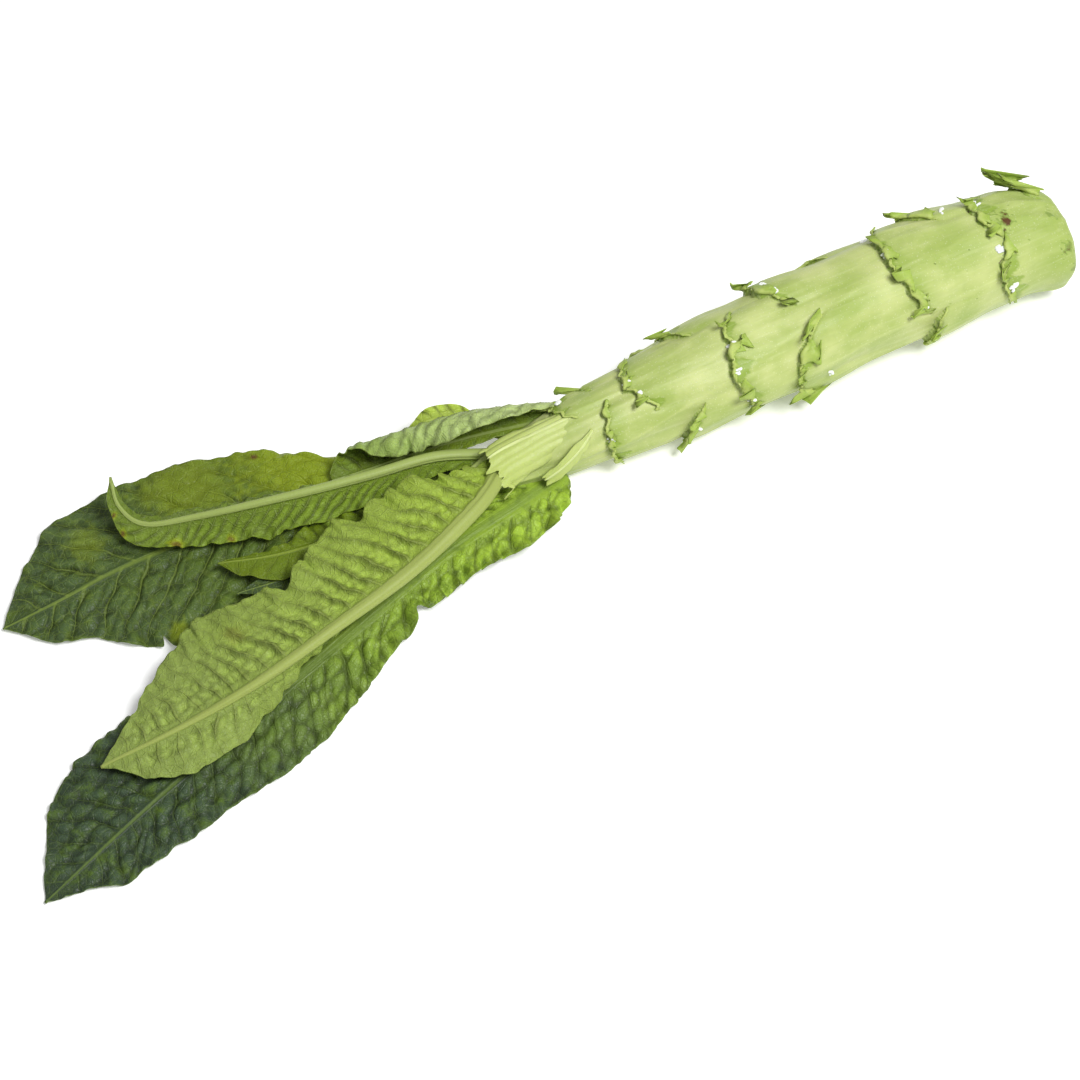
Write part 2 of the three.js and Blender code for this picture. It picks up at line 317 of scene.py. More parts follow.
class Nodes:
    """Short ways to wire up a node tree."""

    def __init__(self, tree: bpy.types.NodeTree) -> None:
        self.tree = tree

    def add(self, kind: str, values: dict | None = None, **settings: object) -> bpy.types.Node:
        """Adds a node, with its settings and the values or links of its inputs."""
        node = self.tree.nodes.new(kind)
        for key, value in settings.items():
            setattr(node, key, value)
        for key, value in (values or {}).items():
            self.feed(node.inputs[key], value)
        return node

    def feed(self, socket: bpy.types.NodeSocket, value: object) -> None:
        """Sets or links an input."""
        if isinstance(value, bpy.types.NodeSocket):
            self.tree.links.new(value, socket)
        elif isinstance(value, tuple) and socket.type == "RGBA":
            socket.default_value = (*value[:3], 1.0)
        else:
            socket.default_value = value

    def math(self, operation: str, a: object, b: object = 0.0, c: object = 0.0) -> bpy.types.NodeSocket:
        """A sum on numbers."""
        node = self.add("ShaderNodeMath", {0: a, 1: b, 2: c}, operation=operation)
        return node.outputs[0]

    def mix(self, factor: object, a: object, b: object, blend: str = "MIX") -> bpy.types.NodeSocket:
        """A mix of two colours."""
        node = self.tree.nodes.new("ShaderNodeMix")
        node.data_type = "RGBA"
        node.blend_type = blend
        self.feed(node.inputs[0], factor)
        self.feed(node.inputs[6], a)
        self.feed(node.inputs[7], b)
        return node.outputs[2]

    def span(self, value: object, low: object, high: object, start: float = 0.0, end: float = 1.0):
        """Eases a number from start at low to end at high."""
        node = self.add(
            "ShaderNodeMapRange",
            {"Value": value, "From Min": low, "From Max": high, "To Min": start, "To Max": end},
            interpolation_type="SMOOTHSTEP",
        )
        return node.outputs[0]

    def noise(self, vector: object, scale: float, detail: float = 3.0, rough: float = 0.55):
        """A noise from 0 to 1."""
        node = self.add(
            "ShaderNodeTexNoise", {"Vector": vector, "Scale": scale, "Detail": detail, "Roughness": rough}
        )
        return node.outputs[0]

    def split(self, vector: object) -> bpy.types.Node:
        """The three numbers of a vector."""
        return self.add("ShaderNodeSeparateXYZ", {0: vector})


def new_group(
    name: str, inputs: dict[str, tuple], outputs: dict[str, str]
) -> tuple[bpy.types.NodeTree, Nodes]:
    """Starts a shader node group.

    Args:
        name: The group's name.
        inputs: Socket type and first value by name.
        outputs: Socket type by name.

    Returns:
        The group and its Nodes.
    """
    tree = bpy.data.node_groups.new(name, "ShaderNodeTree")
    for key, (kind, value) in inputs.items():
        socket = tree.interface.new_socket(name=key, in_out="INPUT", socket_type=kind)
        socket.default_value = (*value, 1.0) if kind == "NodeSocketColor" else value
    for key, kind in outputs.items():
        tree.interface.new_socket(name=key, in_out="OUTPUT", socket_type=kind)
    return tree, Nodes(tree)


def leaf_pattern() -> bpy.types.NodeTree:
    """The colour, relief and roughness of a leaf's two sides."""
    colour = "NodeSocketColor"
    number = "NodeSocketFloat"
    inputs = {
        name: (colour, (0.5, 0.5, 0.5))
        for name in ("Top base", "Top tip", "Under base", "Under tip", "Rib", "Rim", "Dapple")
    }
    inputs |= {"Vein": (number, 0.35), "Net": (number, 0.25), "Roughness": (number, 0.5)}
    inputs |= {"Ramp start": (number, 0.0), "Ramp end": (number, 1.0)}
    outputs = {"Color": colour, "Height": number, "Roughness": number}
    tree, n = new_group("leaf_pattern", inputs, outputs)
    given = n.add("NodeGroupInput").outputs
    uv = n.add("ShaderNodeUVMap", uv_map="surface").outputs[0]
    blade = n.split(n.add("ShaderNodeAttribute", attribute_name="blade").outputs["Vector"])
    flow = n.split(n.add("ShaderNodeAttribute", attribute_name="flow").outputs["Vector"])
    paint = n.split(n.add("ShaderNodeAttribute", attribute_name="paint").outputs["Vector"])
    margin, along, top = blade.outputs[0], blade.outputs[1], blade.outputs[2]
    vein_at, rib, puff = flow.outputs[0], flow.outputs[1], flow.outputs[2]

    wander = n.noise(uv, 45.0, 2.0)
    drift = n.math("MULTIPLY_ADD", wander, 0.30, -0.15)
    ramp = n.span(n.math("ADD", along, drift), given["Ramp start"], given["Ramp end"])
    upper = n.mix(ramp, given["Top base"], given["Top tip"])
    lower = n.mix(ramp, given["Under base"], given["Under tip"])
    body = n.mix(top, lower, upper)
    spots = n.span(n.noise(uv, 120.0, 4.0, 0.65), 0.46, 0.72)
    body = n.mix(n.math("MULTIPLY", spots, n.span(top, 0, 1, 0.25, 0.75)), body, given["Dapple"])
    # Painted shade: the colour is darkened in the hollows between the puckered pads and lightened on their
    # crowns.
    shade = n.span(puff, -0.5, 0.5, 0.50, 1.22)
    tone = n.add("ShaderNodeCombineColor", {0: shade, 1: shade, 2: shade}).outputs[0]
    body = n.mix(1.0, body, tone, "MULTIPLY")

    # Side veins run where the flow attribute is a whole number; finer ones lie between them.
    frac = n.math("PINGPONG", vein_at, 0.5)
    wide = n.span(margin, 0.0, 0.95, 0.085, 0.026)
    side_vein = n.span(n.math("DIVIDE", frac, wide), 0.35, 1.0, 1.0, 0.0)
    edges = "DISTANCE_TO_EDGE"
    web = n.add("ShaderNodeTexVoronoi", {"Vector": uv, "Scale": 230.0}, feature=edges).outputs[0]
    fine = n.add("ShaderNodeTexVoronoi", {"Vector": uv, "Scale": 620.0}, feature=edges).outputs[0]
    net = n.span(web, 0.0, 0.09, 1.0, 0.0)
    finer = n.span(fine, 0.0, 0.12, 1.0, 0.0)
    lines = n.math("MAXIMUM", side_vein, n.math("MULTIPLY", net, 0.55))
    fade = n.span(rib, 0.0, 0.6, 1.0, 0.0)
    lines = n.math("MULTIPLY", lines, fade)
    light = n.mix(0.5, body, given["Rib"])
    body = n.mix(n.math("MULTIPLY", side_vein, given["Vein"]), body, light)
    body = n.mix(n.math("MULTIPLY", net, n.math("MULTIPLY", given["Net"], fade)), body, light)
    body = n.mix(n.math("MULTIPLY", finer, n.math("MULTIPLY", given["Net"], 0.4)), body, light)
    edge = n.span(n.math("ADD", margin, n.math("MULTIPLY_ADD", wander, 0.05, -0.025)), 0.955, 1.0)
    body = n.mix(n.math("MULTIPLY", edge, 0.22), body, given["Rim"])
    top_rib = n.math("MULTIPLY", paint.outputs[2], 0.5)
    shown_rib = n.add("ShaderNodeMix", {0: top, 2: n.span(rib, 0.25, 0.95), 3: top_rib})
    body = n.mix(shown_rib.outputs[0], body, given["Rib"])
    # Yellow patches from the leaf's spots. The large ones on the lower back leaf's back half are partly its
    # yellowing and partly painted light, lightening that half against its shaded front half.
    body = n.mix(paint.outputs[1], body, (0.33, 0.42, 0.010))
    body = n.mix(paint.outputs[0], body, (0.12, 0.055, 0.015))

    # From above the veins are sunk, from below they stand out.
    sign = n.span(top, 0.0, 1.0, 1.0, -1.0)
    relief = n.math("ADD", lines, n.math("MULTIPLY", finer, 0.3))
    relief = n.math("MULTIPLY", relief, n.math("MULTIPLY", sign, fade))
    relief = n.math("MULTIPLY", relief, n.span(given["Net"], 0.0, 0.2, 0.1, 1.0))
    grain = n.noise(uv, 900.0, 2.0)
    height = n.math("ADD", n.math("MULTIPLY", relief, 0.55), n.math("MULTIPLY", grain, 0.28))
    ribbed = n.noise(n.add("ShaderNodeMapping", {0: uv, 3: (25.0, 700.0, 1.0)}).outputs[0], 1.0, 2.0)
    height = n.math("ADD", height, n.math("MULTIPLY", n.math("MULTIPLY", ribbed, rib), 0.7))
    rough = n.math("ADD", given["Roughness"], n.math("MULTIPLY_ADD", spots, 0.16, -0.08))
    n.add("NodeGroupOutput", {"Color": body, "Height": height, "Roughness": rough})
    return tree


def principled(
    colour: object, rough: object, height: object, nodes: Nodes, tree: bpy.types.NodeTree, depth: float
) -> bpy.types.Node:
    """The shader at the end of a plant material."""
    bump = nodes.add("ShaderNodeBump", {"Height": height, "Strength": 0.75, "Distance": depth})
    shader = nodes.add(
        "ShaderNodeBsdfPrincipled",
        {"Base Color": colour, "Roughness": rough, "Normal": bump.outputs[0], "Specular IOR Level": 0.24},
    )
    shader.inputs["Subsurface Weight"].default_value = 0.12
    shader.inputs["Subsurface Radius"].default_value = (0.6, 0.8, 0.15)
    shader.inputs["Subsurface Scale"].default_value = 0.002
    out = nodes.add("ShaderNodeOutputMaterial")
    tree.links.new(shader.outputs[0], out.inputs[0])
    return shader


def new_material(name: str) -> tuple[bpy.types.Material, Nodes]:
    """An empty node material."""
    material = bpy.data.materials.new(name)
    material.use_nodes = True
    material.node_tree.nodes.clear()
    return material, Nodes(material.node_tree)


def leaf_material(name: str, finish: LeafFinish, group: bpy.types.NodeTree) -> bpy.types.Material:
    """A leaf's material: the shared pattern with this leaf's colours."""
    material, n = new_material(name)
    values = {
        "Top base": finish.top_base,
        "Top tip": finish.top_tip,
        "Under base": finish.under_base,
        "Under tip": finish.under_tip,
        "Rib": finish.rib,
        "Rim": finish.rim,
        "Dapple": finish.dapple,
        "Vein": finish.vein,
        "Net": finish.net,
        "Roughness": finish.roughness,
        "Ramp start": finish.ramp[0],
        "Ramp end": finish.ramp[1],
    }
    pattern = n.tree.nodes.new("ShaderNodeGroup")
    pattern.node_tree = group
    for key, value in values.items():
        n.feed(pattern.inputs[key], value)
    made = pattern.outputs
    principled(made["Color"], made["Roughness"], made["Height"], n, n.tree, 0.0010)
    return material


def stem_material(finish: StemFinish) -> bpy.types.Material:
    """Skin with fine lengthwise fibres, paler and greener areas, speckle, marks, and the cut face, with
    painted shade at the foot of each torn edge and on the sides turned from the top, and a partly painted
    highlight along the facet crests.
    """
    material, n = new_material("stem_skin")
    place = n.add("ShaderNodeTexCoord").outputs["Object"]
    zone = n.split(n.add("ShaderNodeAttribute", attribute_name="zone").outputs["Vector"])
    part = n.split(n.add("ShaderNodeAttribute", attribute_name="part").outputs["Vector"])
    pale, green, bruise = zone.outputs
    face, ring, pith = part.outputs
    long_grain = n.add("ShaderNodeMapping", {0: place, 3: (18.0, 420.0, 420.0)}).outputs[0]
    fibre = n.noise(long_grain, 1.0, 4.0, 0.6)
    broad = n.noise(n.add("ShaderNodeMapping", {0: place, 3: (20.0, 48.0, 48.0)}).outputs[0], 1.0, 3.0)
    cloud = n.noise(place, 38.0, 4.0)
    body = n.mix(n.span(cloud, 0.35, 0.70), finish.skin, finish.pale)
    body = n.mix(n.math("MULTIPLY", n.span(broad, 0.42, 0.68), 0.38), body, finish.green)
    body = n.mix(pale, body, finish.pale)
    body = n.mix(green, body, finish.green)
    body = n.mix(n.math("MULTIPLY", n.span(fibre, 0.5, 0.75), 0.17), body, (0.72, 0.76, 0.45))
    body = n.mix(n.math("MULTIPLY", n.span(fibre, 0.46, 0.25), 0.15), body, finish.green)
    pores = n.add("ShaderNodeTexVoronoi", {"Vector": place, "Scale": 620.0}, feature="F1").outputs[0]
    speck = n.span(pores, 0.12, 0.26, 1.0, 0.0)
    body = n.mix(n.math("MULTIPLY", speck, 0.22), body, (0.80, 0.82, 0.60))
    # Dark green fringes round the browned marks, and at each torn edge a dark line that is partly browning
    # and partly painted shadow under the step.
    ragged = n.math("ADD", bruise, n.math("MULTIPLY_ADD", n.noise(place, 420.0, 4.0, 0.7), 0.9, -0.45))
    dark_fringe_and_foot_shadow = n.span(n.math("ADD", bruise, n.math("MULTIPLY_ADD", cloud, 0.2, -0.1)), 0.16, 0.36)
    body = n.mix(n.math("MULTIPLY", dark_fringe_and_foot_shadow, 0.6), body, (0.17, 0.26, 0.045))
    body = n.mix(n.span(ragged, 0.40, 0.75), body, finish.bruise)
    rings = n.noise(n.add("ShaderNodeMapping", {0: place, 3: (40.0, 240.0, 240.0)}).outputs[0], 1.0, 5.0, 0.7)
    flesh = n.mix(n.span(rings, 0.40, 0.72), finish.flesh, (0.56, 0.64, 0.26))
    flesh = n.mix(ring, flesh, finish.green)
    flesh = n.mix(n.math("MULTIPLY", pith, 0.7), flesh, (0.78, 0.80, 0.58))
    browned = n.span(n.math("ADD", rings, n.math("MULTIPLY", ring, 0.12)), 0.70, 0.86)
    flesh = n.mix(browned, flesh, (0.34, 0.24, 0.09))
    body = n.mix(face, body, flesh)
    height = n.math("ADD", n.math("MULTIPLY", fibre, 0.55), n.math("MULTIPLY", speck, -0.12))
    height = n.math("ADD", height, n.math("MULTIPLY", n.noise(place, 700.0, 2.0), 0.25))
    rough = n.math("ADD", finish.roughness, n.math("MULTIPLY_ADD", cloud, 0.2, -0.1))
    principled(body, rough, height, n, n.tree, 0.0006)
    return material


def tatter_material(finish: TatterFinish) -> bpy.types.Material:
    """Torn leaf base: paler where it is held, greener towards its free edge, browned in places."""
    material, n = new_material("torn_leaf_base")
    place = n.add("ShaderNodeTexCoord").outputs["Object"]
    torn = n.split(n.add("ShaderNodeAttribute", attribute_name="torn").outputs["Vector"])
    free, dry, _ = torn.outputs
    mottle = n.noise(place, 260.0, 4.0, 0.6)
    outward = n.math("ADD", free, n.math("MULTIPLY_ADD", mottle, 0.8, -0.4))
    body = n.mix(n.span(outward, 0.15, 0.9), finish.root, finish.edge)
    body = n.mix(n.math("MULTIPLY", n.span(mottle, 0.55, 0.75), 0.5), body, (0.56, 0.62, 0.28))
    browned = n.math("ADD", dry, n.math("MULTIPLY_ADD", n.noise(place, 500.0, 3.0), 0.7, -0.35))
    body = n.mix(n.span(browned, 0.45, 0.8), body, finish.bruise)
    height = n.noise(n.add("ShaderNodeMapping", {0: place, 3: (120.0, 700.0, 700.0)}).outputs[0], 1.0, 3.0)
    principled(body, finish.roughness, height, n, n.tree, 0.0006)
    return material


def latex_material() -> bpy.types.Material:
    """Dried milky sap."""
    material, n = new_material("milky_sap")
    place = n.add("ShaderNodeTexCoord").outputs["Object"]
    cloud = n.noise(place, 900.0, 3.0)
    body = n.mix(cloud, (0.78, 0.83, 0.76), (0.95, 0.96, 0.92))
    principled(body, 0.25, cloud, n, n.tree, 0.0003)
    return material


# ------------------------------------------------------------------ stem


@dataclass(frozen=True)
class Tatter:
    """A piece of leaf base left standing on a torn edge.

    across is its middle, as a share of the edge's half width; width its half width in degrees;
    length in millimetres; curl how far it turns over towards the base, in degrees.
    """

    across: float
    width: float
    length: float
    curl: float = 60.0


@dataclass(frozen=True)
class Scar:
    """A torn leaf base. at, turn, span, sweep and rise are the CAD part's own dimensions."""

    at: float
    turn: float
    span: float
    sweep: float
    rise: float
    tatters: tuple[Tatter, ...] = ()
    dry: float = 0.1
    torn: bool = True


SCARS = (
    Scar(13, 125, 40, 9, 1.4, (Tatter(0.1, 5, 7, 30),)),
    Scar(27, 158, 35, 9, 1.2, (Tatter(-0.2, 8, 6, 20),)),
    Scar(31, 28, 62, 8, 2.2, (Tatter(0.75, 7, 3, 90), Tatter(0.05, 8, 3, 100), Tatter(-0.6, 9, 4, 80))),
    Scar(49, 98, 55, 12, 2.4, (Tatter(0.55, 6, 4, 80), Tatter(-0.04, 7, 5, 100), Tatter(-0.5, 6, 4, 60))),
    Scar(62, 196, 50, 10, 2.2, (Tatter(0.1, 9, 5, 60), Tatter(-0.6, 7, 4, 90))),
    Scar(72, -19, 48, 12, 2.4, (Tatter(-0.2, 7, 6, 30), Tatter(0.35, 6, 5, 60), Tatter(0.72, 5, 5, 10))),
    Scar(80, 158, 45, 12, 2.0, (Tatter(-0.3, 7, 6, 40), Tatter(0.4, 8, 4, 80))),
    Scar(
        100,
        50,
        66,
        14,
        2.8,
        (
            Tatter(0.72, 5, 4, 60),
            Tatter(0.3, 7, 10, 200),
            Tatter(0, 4, 4, 90),
            Tatter(-0.4, 6, 5, 70),
            Tatter(-0.85, 7, 6, 20),
        ),
    ),
    Scar(112, 265, 50, 14, 0.8, torn=False),
    Scar(130, 145, 58, 14, 2.6, (Tatter(0.1, 8, 7, 70), Tatter(-0.5, 7, 6, 120), Tatter(-0.9, 6, 5, 60))),
    Scar(
        132,
        15,
        55,
        24,
        2.6,
        (
            Tatter(0.76, 6, 8, 20),
            Tatter(0.42, 7, 9, 90),
            Tatter(0.0, 5, 4, 60),
            Tatter(-0.4, 5, 6, 40),
            Tatter(-0.8, 7, 10, 10),
        ),
    ),
    Scar(165, 196, 52, 14, 2.4, (Tatter(0.3, 8, 6, 70), Tatter(-0.4, 8, 5, 60))),
    Scar(
        197,
        88,
        70,
        14,
        3.0,
        (
            Tatter(0.7, 6, 5, 80),
            Tatter(0.3, 4, 3, 60),
            Tatter(0.1, 6, 5, 110),
            Tatter(-0.3, 6, 5, 60),
            Tatter(-0.62, 5, 5, 90),
            Tatter(-0.85, 6, 7, 20),
        ),
        dry=0.2,
    ),
    Scar(210, -20, 48, 12, 2.4, (Tatter(0.3, 7, 5, 60), Tatter(-0.3, 6, 4, 80))),
    Scar(
        222,
        165,
        55,
        14,
        2.6,
        (Tatter(-0.3, 9, 7, 40), Tatter(-0.7, 8, 6, 80), Tatter(0.4, 8, 5, 60)),
        dry=0.42,
    ),
    Scar(236, 262, 50, 14, 0.8, torn=False),
    Scar(
        252,
        98,
        34,
        8,
        1.8,
        (Tatter(0.5, 8, 6, 60), Tatter(-0.2, 7, 5, 90), Tatter(-0.7, 6, 4, 60)),
        dry=0.3,
    ),
    Scar(
        253,
        25,
        45,
        9,
        1.8,
        (Tatter(0.65, 7, 5, 80), Tatter(0.1, 7, 4, 60), Tatter(-0.6, 7, 4, 90)),
        dry=0.38,
    ),
    Scar(284, 130, 30, 6, 1.0, (Tatter(-0.1, 17, 15, 35), Tatter(0.6, 6, 8, 10)), dry=0.3),
)


@dataclass
class Stem:
    """The thick stem, swollen behind each torn leaf base and cut across at its base.

    profile is [distance from the neck, radius]. marks are the brown marks, as (distance, angle,
    size, depth of colour). swell_gain is how far the swellings exceed each scar's own rise.
    """

    plan: Plan
    finish: StemFinish = field(default_factory=StemFinish)
    apex: float = 38.0
    rings: int = 340
    sides: int = 256
    face_rings: int = 26
    step: float = 1.1
    swell_length: float = 42.0
    bend_start: float = 270.0
    bend: float = -6.0
    rest_degrees: float = 14.0
    swell_gain: float = 1.4
    marks: tuple[tuple[float, float, float, float], ...] = (
        (264, 79, 3.2, 0.85),
        (257, 84, 5, 0.22),
        (294, 41, 3, 0.6),
        (298, 14, 3, 0.6),
        (290, 80, 2, 0.5),
    )
    profile: tuple[tuple[float, float], ...] = (
        (-38, 6),
        (-30, 9),
        (-18, 12),
        (0, 15.5),
        (20, 18),
        (46, 20),
        (71, 23),
        (104, 26.5),
        (161, 28.5),
        (240, 29.5),
        (275, 29),
        (290, 28),
        (298, 26.5),
        (300, 25.5),
    )

    def radius(self, x: np.ndarray) -> np.ndarray:
        """Radius of the plain stem, without its swellings."""
        at, size = np.array(self.profile, float).T
        spread = np.array((-6, -3, 0, 3, 6))
        near_end = np.interp(x, (270, 292), (1, 0.2))
        return sum(np.interp(np.clip(x + d * near_end, -38, 300), at, size) for d in spread) / len(spread)

    def edge(self, scar: Scar, degrees: np.ndarray) -> tuple[np.ndarray, np.ndarray]:
        """Where a scar's torn edge lies.

        Args:
            scar: The torn leaf base.
            degrees: Angles round the stem.

        Returns:
            The edge's distance from the neck, and the share of the half width at each angle.
        """
        away = near_zero(degrees - scar.turn)
        across = away / scar.span
        seed = int(scar.at)
        jitter = 1.5 * noise(away / 9, away * 0 + seed, seed, 3)
        return scar.at + scar.sweep * across**2 + jitter, across

    def swelling(self, x: np.ndarray, degrees: np.ndarray) -> np.ndarray:
        """How far the swollen leaf bases stand above the plain stem."""
        height = np.zeros(np.broadcast(x, degrees).shape)
        for scar in SCARS:
            at, across = self.edge(scar, degrees)
            behind = x - at
            along = smooth(behind, 0, self.step) * (1 - smooth(behind, 3, self.swell_length))
            inside = np.clip(1 - across**4, 0, 1) * (np.abs(across) < 1)
            height = np.maximum(height, self.swell_gain * scar.rise * along * inside)
        return height

    def facets(self, x: np.ndarray, degrees: np.ndarray) -> np.ndarray:
        """The blunt lengthwise ridges of the stem."""
        turn = np.radians(degrees)
        round_x, round_y = np.cos(turn), np.sin(turn)
        drift = x / 75
        first = np.abs(noise(round_x * 1.9 + drift, round_y * 1.9 - drift * 0.4, 91))
        second = np.abs(noise(round_x * 3.3 - drift * 0.6, round_y * 3.3 + drift, 92))
        return 1.7 * (0.35 - first) + 0.7 * (0.3 - second)

    def torn_skin(self, x: np.ndarray, degrees: np.ndarray) -> tuple[np.ndarray, np.ndarray]:
        """The ragged patches behind torn edges.

        Args:
            x: Distances from the neck.
            degrees: Angles round the stem.

        Returns:
            Where the patches are, from 0 to 1, and how deep the skin is torn, in millimetres.
        """
        patch = np.zeros(x.shape)
        depth = np.zeros(x.shape)
        for scar in SCARS:
            at, across = self.edge(scar, degrees)
            away = near_zero(degrees - scar.turn)
            seed = int(scar.at) + 300
            reach = 3.5 + 7.5 * np.clip(noise(away / 15, away * 0 + seed, seed, 3) + 0.1, -0.2, 1.2)
            reach = reach * np.clip(1.15 - across**2, 0, 1)
            behind = x - at
            inside = (behind > 0) * (np.abs(across) < 1)
            here = inside * smooth(behind, reach, reach - 0.9)
            patch = np.maximum(patch, here)
            depth = np.maximum(depth, 0.45 * here * smooth(behind, 0, 1.5))
            groove = np.exp(-(((behind + 0.5) / 0.7) ** 2)) * (np.abs(across) < 0.97)
            depth = np.maximum(depth, 0.55 * groove)
        return patch, depth

    def centre_height(self, x: np.ndarray) -> np.ndarray:
        """Height of the stem's axis over the floor."""
        return self.radius(x) + np.interp(x, (-self.apex, 0), (9, 0))

    def surface(self, x: np.ndarray, degrees: np.ndarray, reach: np.ndarray) -> np.ndarray:
        """Points at a reach from the stem's axis."""
        turn = np.radians(degrees)
        lean = self.bend * smooth(x, self.bend_start, STEM_END)
        y = lean - reach * np.cos(turn)
        z = self.centre_height(x) + reach * np.sin(turn)
        return np.stack(np.broadcast_arrays(x, y, z), -1)

    def outside(self, x: np.ndarray, degrees: np.ndarray, above: np.ndarray | float = 0.0) -> np.ndarray:
        """Points this far above the skin."""
        return self.surface(x, degrees, self.radius(x) + self.swelling(x, degrees) + above)

    def build(self) -> bpy.types.Object:
        """Models the stem."""
        bpy.ops.object.select_all(action="DESELECT")
        bpy.ops.mesh.primitive_uv_sphere_add(segments=self.sides, ring_count=self.rings, radius=1)
        piece = bpy.context.object
        piece.name = "stem_skin"
        piece.data.name = "stem_skin"
        ball = get_points(piece)
        ring = np.arccos(np.clip(ball[:, 2], -1, 1)) / math.pi * self.rings
        degrees = np.degrees(np.arctan2(ball[:, 1], -ball[:, 0]))
        tip_rings = 8
        last = self.rings - self.face_rings
        inside = np.clip((ring - tip_rings) / (last - tip_rings), 0, 1)
        x = -self.apex + (STEM_END + self.apex) * inside
        inwards = np.clip((self.rings - ring) / self.face_rings, 0, 1)
        share = np.where(ring < tip_rings, np.sin(np.clip(ring / tip_rings, 0, 1) * math.pi / 2), 1.0)
        share = np.where(ring > last, inwards, share)
        bulge = 0.25 * noise(x / 22, np.cos(np.radians(degrees)) * 2, 3, 2)
        bulge += self.facets(x, degrees) - self.torn_skin(x, degrees)[1]
        bulge *= smooth(near_zero(degrees + 90) ** 2, 100, 900)
        reach = self.radius(x) + self.swelling(x, degrees) + bulge
        # The cut face is slightly dished, with a rounded rim and slanting knife marks.
        knife = 0.3 * noise(inwards * 6, degrees / 90, 9, 2)
        dish = np.where(ring > last, 1.6 * (1 - inwards**2) + knife, 0.0)
        points = self.surface(x, degrees, reach * share)
        points[:, 0] -= dish * smooth(1 - inwards, 0.0, 0.2)
        rounding = 1.8 * smooth(x, STEM_END - 3, STEM_END) * smooth(inwards, 0.9, 1.0)
        points[:, 0] -= rounding * 0.5
        tilt = 0.07 * (points[:, 2] - self.centre_height(x))
        points[:, 0] += tilt * smooth(x, STEM_END - 30, STEM_END) - 4.0 * smooth(x, STEM_END - 30, STEM_END)
        flat = (np.abs(near_zero(degrees + 90)) < self.rest_degrees) & (share > 0.9) & (x > 0)
        points[:, 2] = np.maximum(points[:, 2], 0.02)
        points[flat, 2] = np.minimum(points[flat, 2], 0.35)
        set_points(piece, self.plan.place(points))
        zone, part = self.zones(x, degrees, ring > last, inwards)
        set_attribute(piece, "zone", zone)
        set_attribute(piece, "part", part)
        select_only(piece)
        bpy.ops.object.mode_set(mode="EDIT")
        bpy.ops.mesh.select_all(action="SELECT")
        bpy.ops.mesh.normals_make_consistent(inside=False)
        bpy.ops.object.mode_set(mode="OBJECT")
        hand_over(piece, "stem", stem_material(self.finish))
        return piece

    def zones(
        self, x: np.ndarray, degrees: np.ndarray, face: np.ndarray, inwards: np.ndarray
    ) -> tuple[np.ndarray, np.ndarray]:
        """Where the skin is pale, green or bruised, and where the cut face's parts lie. The bruise line at
        each torn edge is partly painted shadow, the green on the stem's sides is painted shade, and the pale
        on the facet crests is partly a painted highlight.
        """
        pale = np.zeros(x.shape)
        green = np.zeros(x.shape)
        bruise = np.zeros(x.shape)
        for scar in SCARS:
            at, across = self.edge(scar, degrees)
            behind = x - at
            inside = (np.abs(across) < 1) * np.clip(1 - across**6, 0, 1)
            fade = 0.75 + 0.5 * noise(near_zero(degrees - scar.turn) / 13, behind / 16, int(scar.at) + 5, 2)
            pale = np.maximum(pale, 0.9 * fade * smooth(behind, -24, -1) * (behind < 0) * inside)
            green = np.maximum(green, 0.42 * smooth(behind, 16, 0) * (behind >= 0) * inside)
            # A dark line along the foot of each torn edge: partly the browned torn edge, partly painted
            # shadow under the step of the swelling.
            browned_edge_and_foot_shadow = np.exp(-(((behind + 0.3) / 0.55) ** 2)) * inside
            bruise = np.maximum(bruise, browned_edge_and_foot_shadow * (0.30 + scar.dry))
        patch, _ = self.torn_skin(x, degrees)
        rim_line = patch * (1 - patch) * 4
        green = np.maximum(green * (1 - patch), 0.9 * patch)
        pale = np.maximum(pale * (1 - patch), 0.8 * rim_line)
        # Pale along the facet crests: partly the skin's paler ridges, partly a painted highlight where the
        # crests face the light.
        pale = np.maximum(pale, 0.55 * smooth(self.facets(x, degrees), 0.35, 0.85) * (1 - patch))
        green = np.maximum(green, 0.45 * smooth(x, 225, 292))
        # Painted shade: the skin is made greener and darker on the sides turned away from the top of the
        # stem, low at the front and at the back.
        green = np.maximum(green, 0.25 * smooth(np.abs(near_zero(degrees - 80)), 40, 110))
        for at, turn, size, depth in self.marks:
            away = np.hypot(x - at, near_zero(degrees - turn) * 0.5)
            away = away * (1 + 0.7 * noise(x / 1.3, degrees / 2.6, int(at) + 12, 2))
            bruise = np.maximum(bruise, depth * np.exp(-((away / size) ** 2)))
        rim = smooth(x, STEM_END - 2.2, STEM_END) * 0.5
        bruise = np.maximum(bruise, rim * 0.8 * (~face))
        ring = np.exp(-(((inwards - 0.86) / 0.05) ** 2)) * face
        pith = smooth(inwards, 0.75, 0.35) * face
        zone = np.stack([pale, green, bruise], -1)
        part = np.stack([face & (inwards < 0.985), ring, pith], -1)
        return zone, part


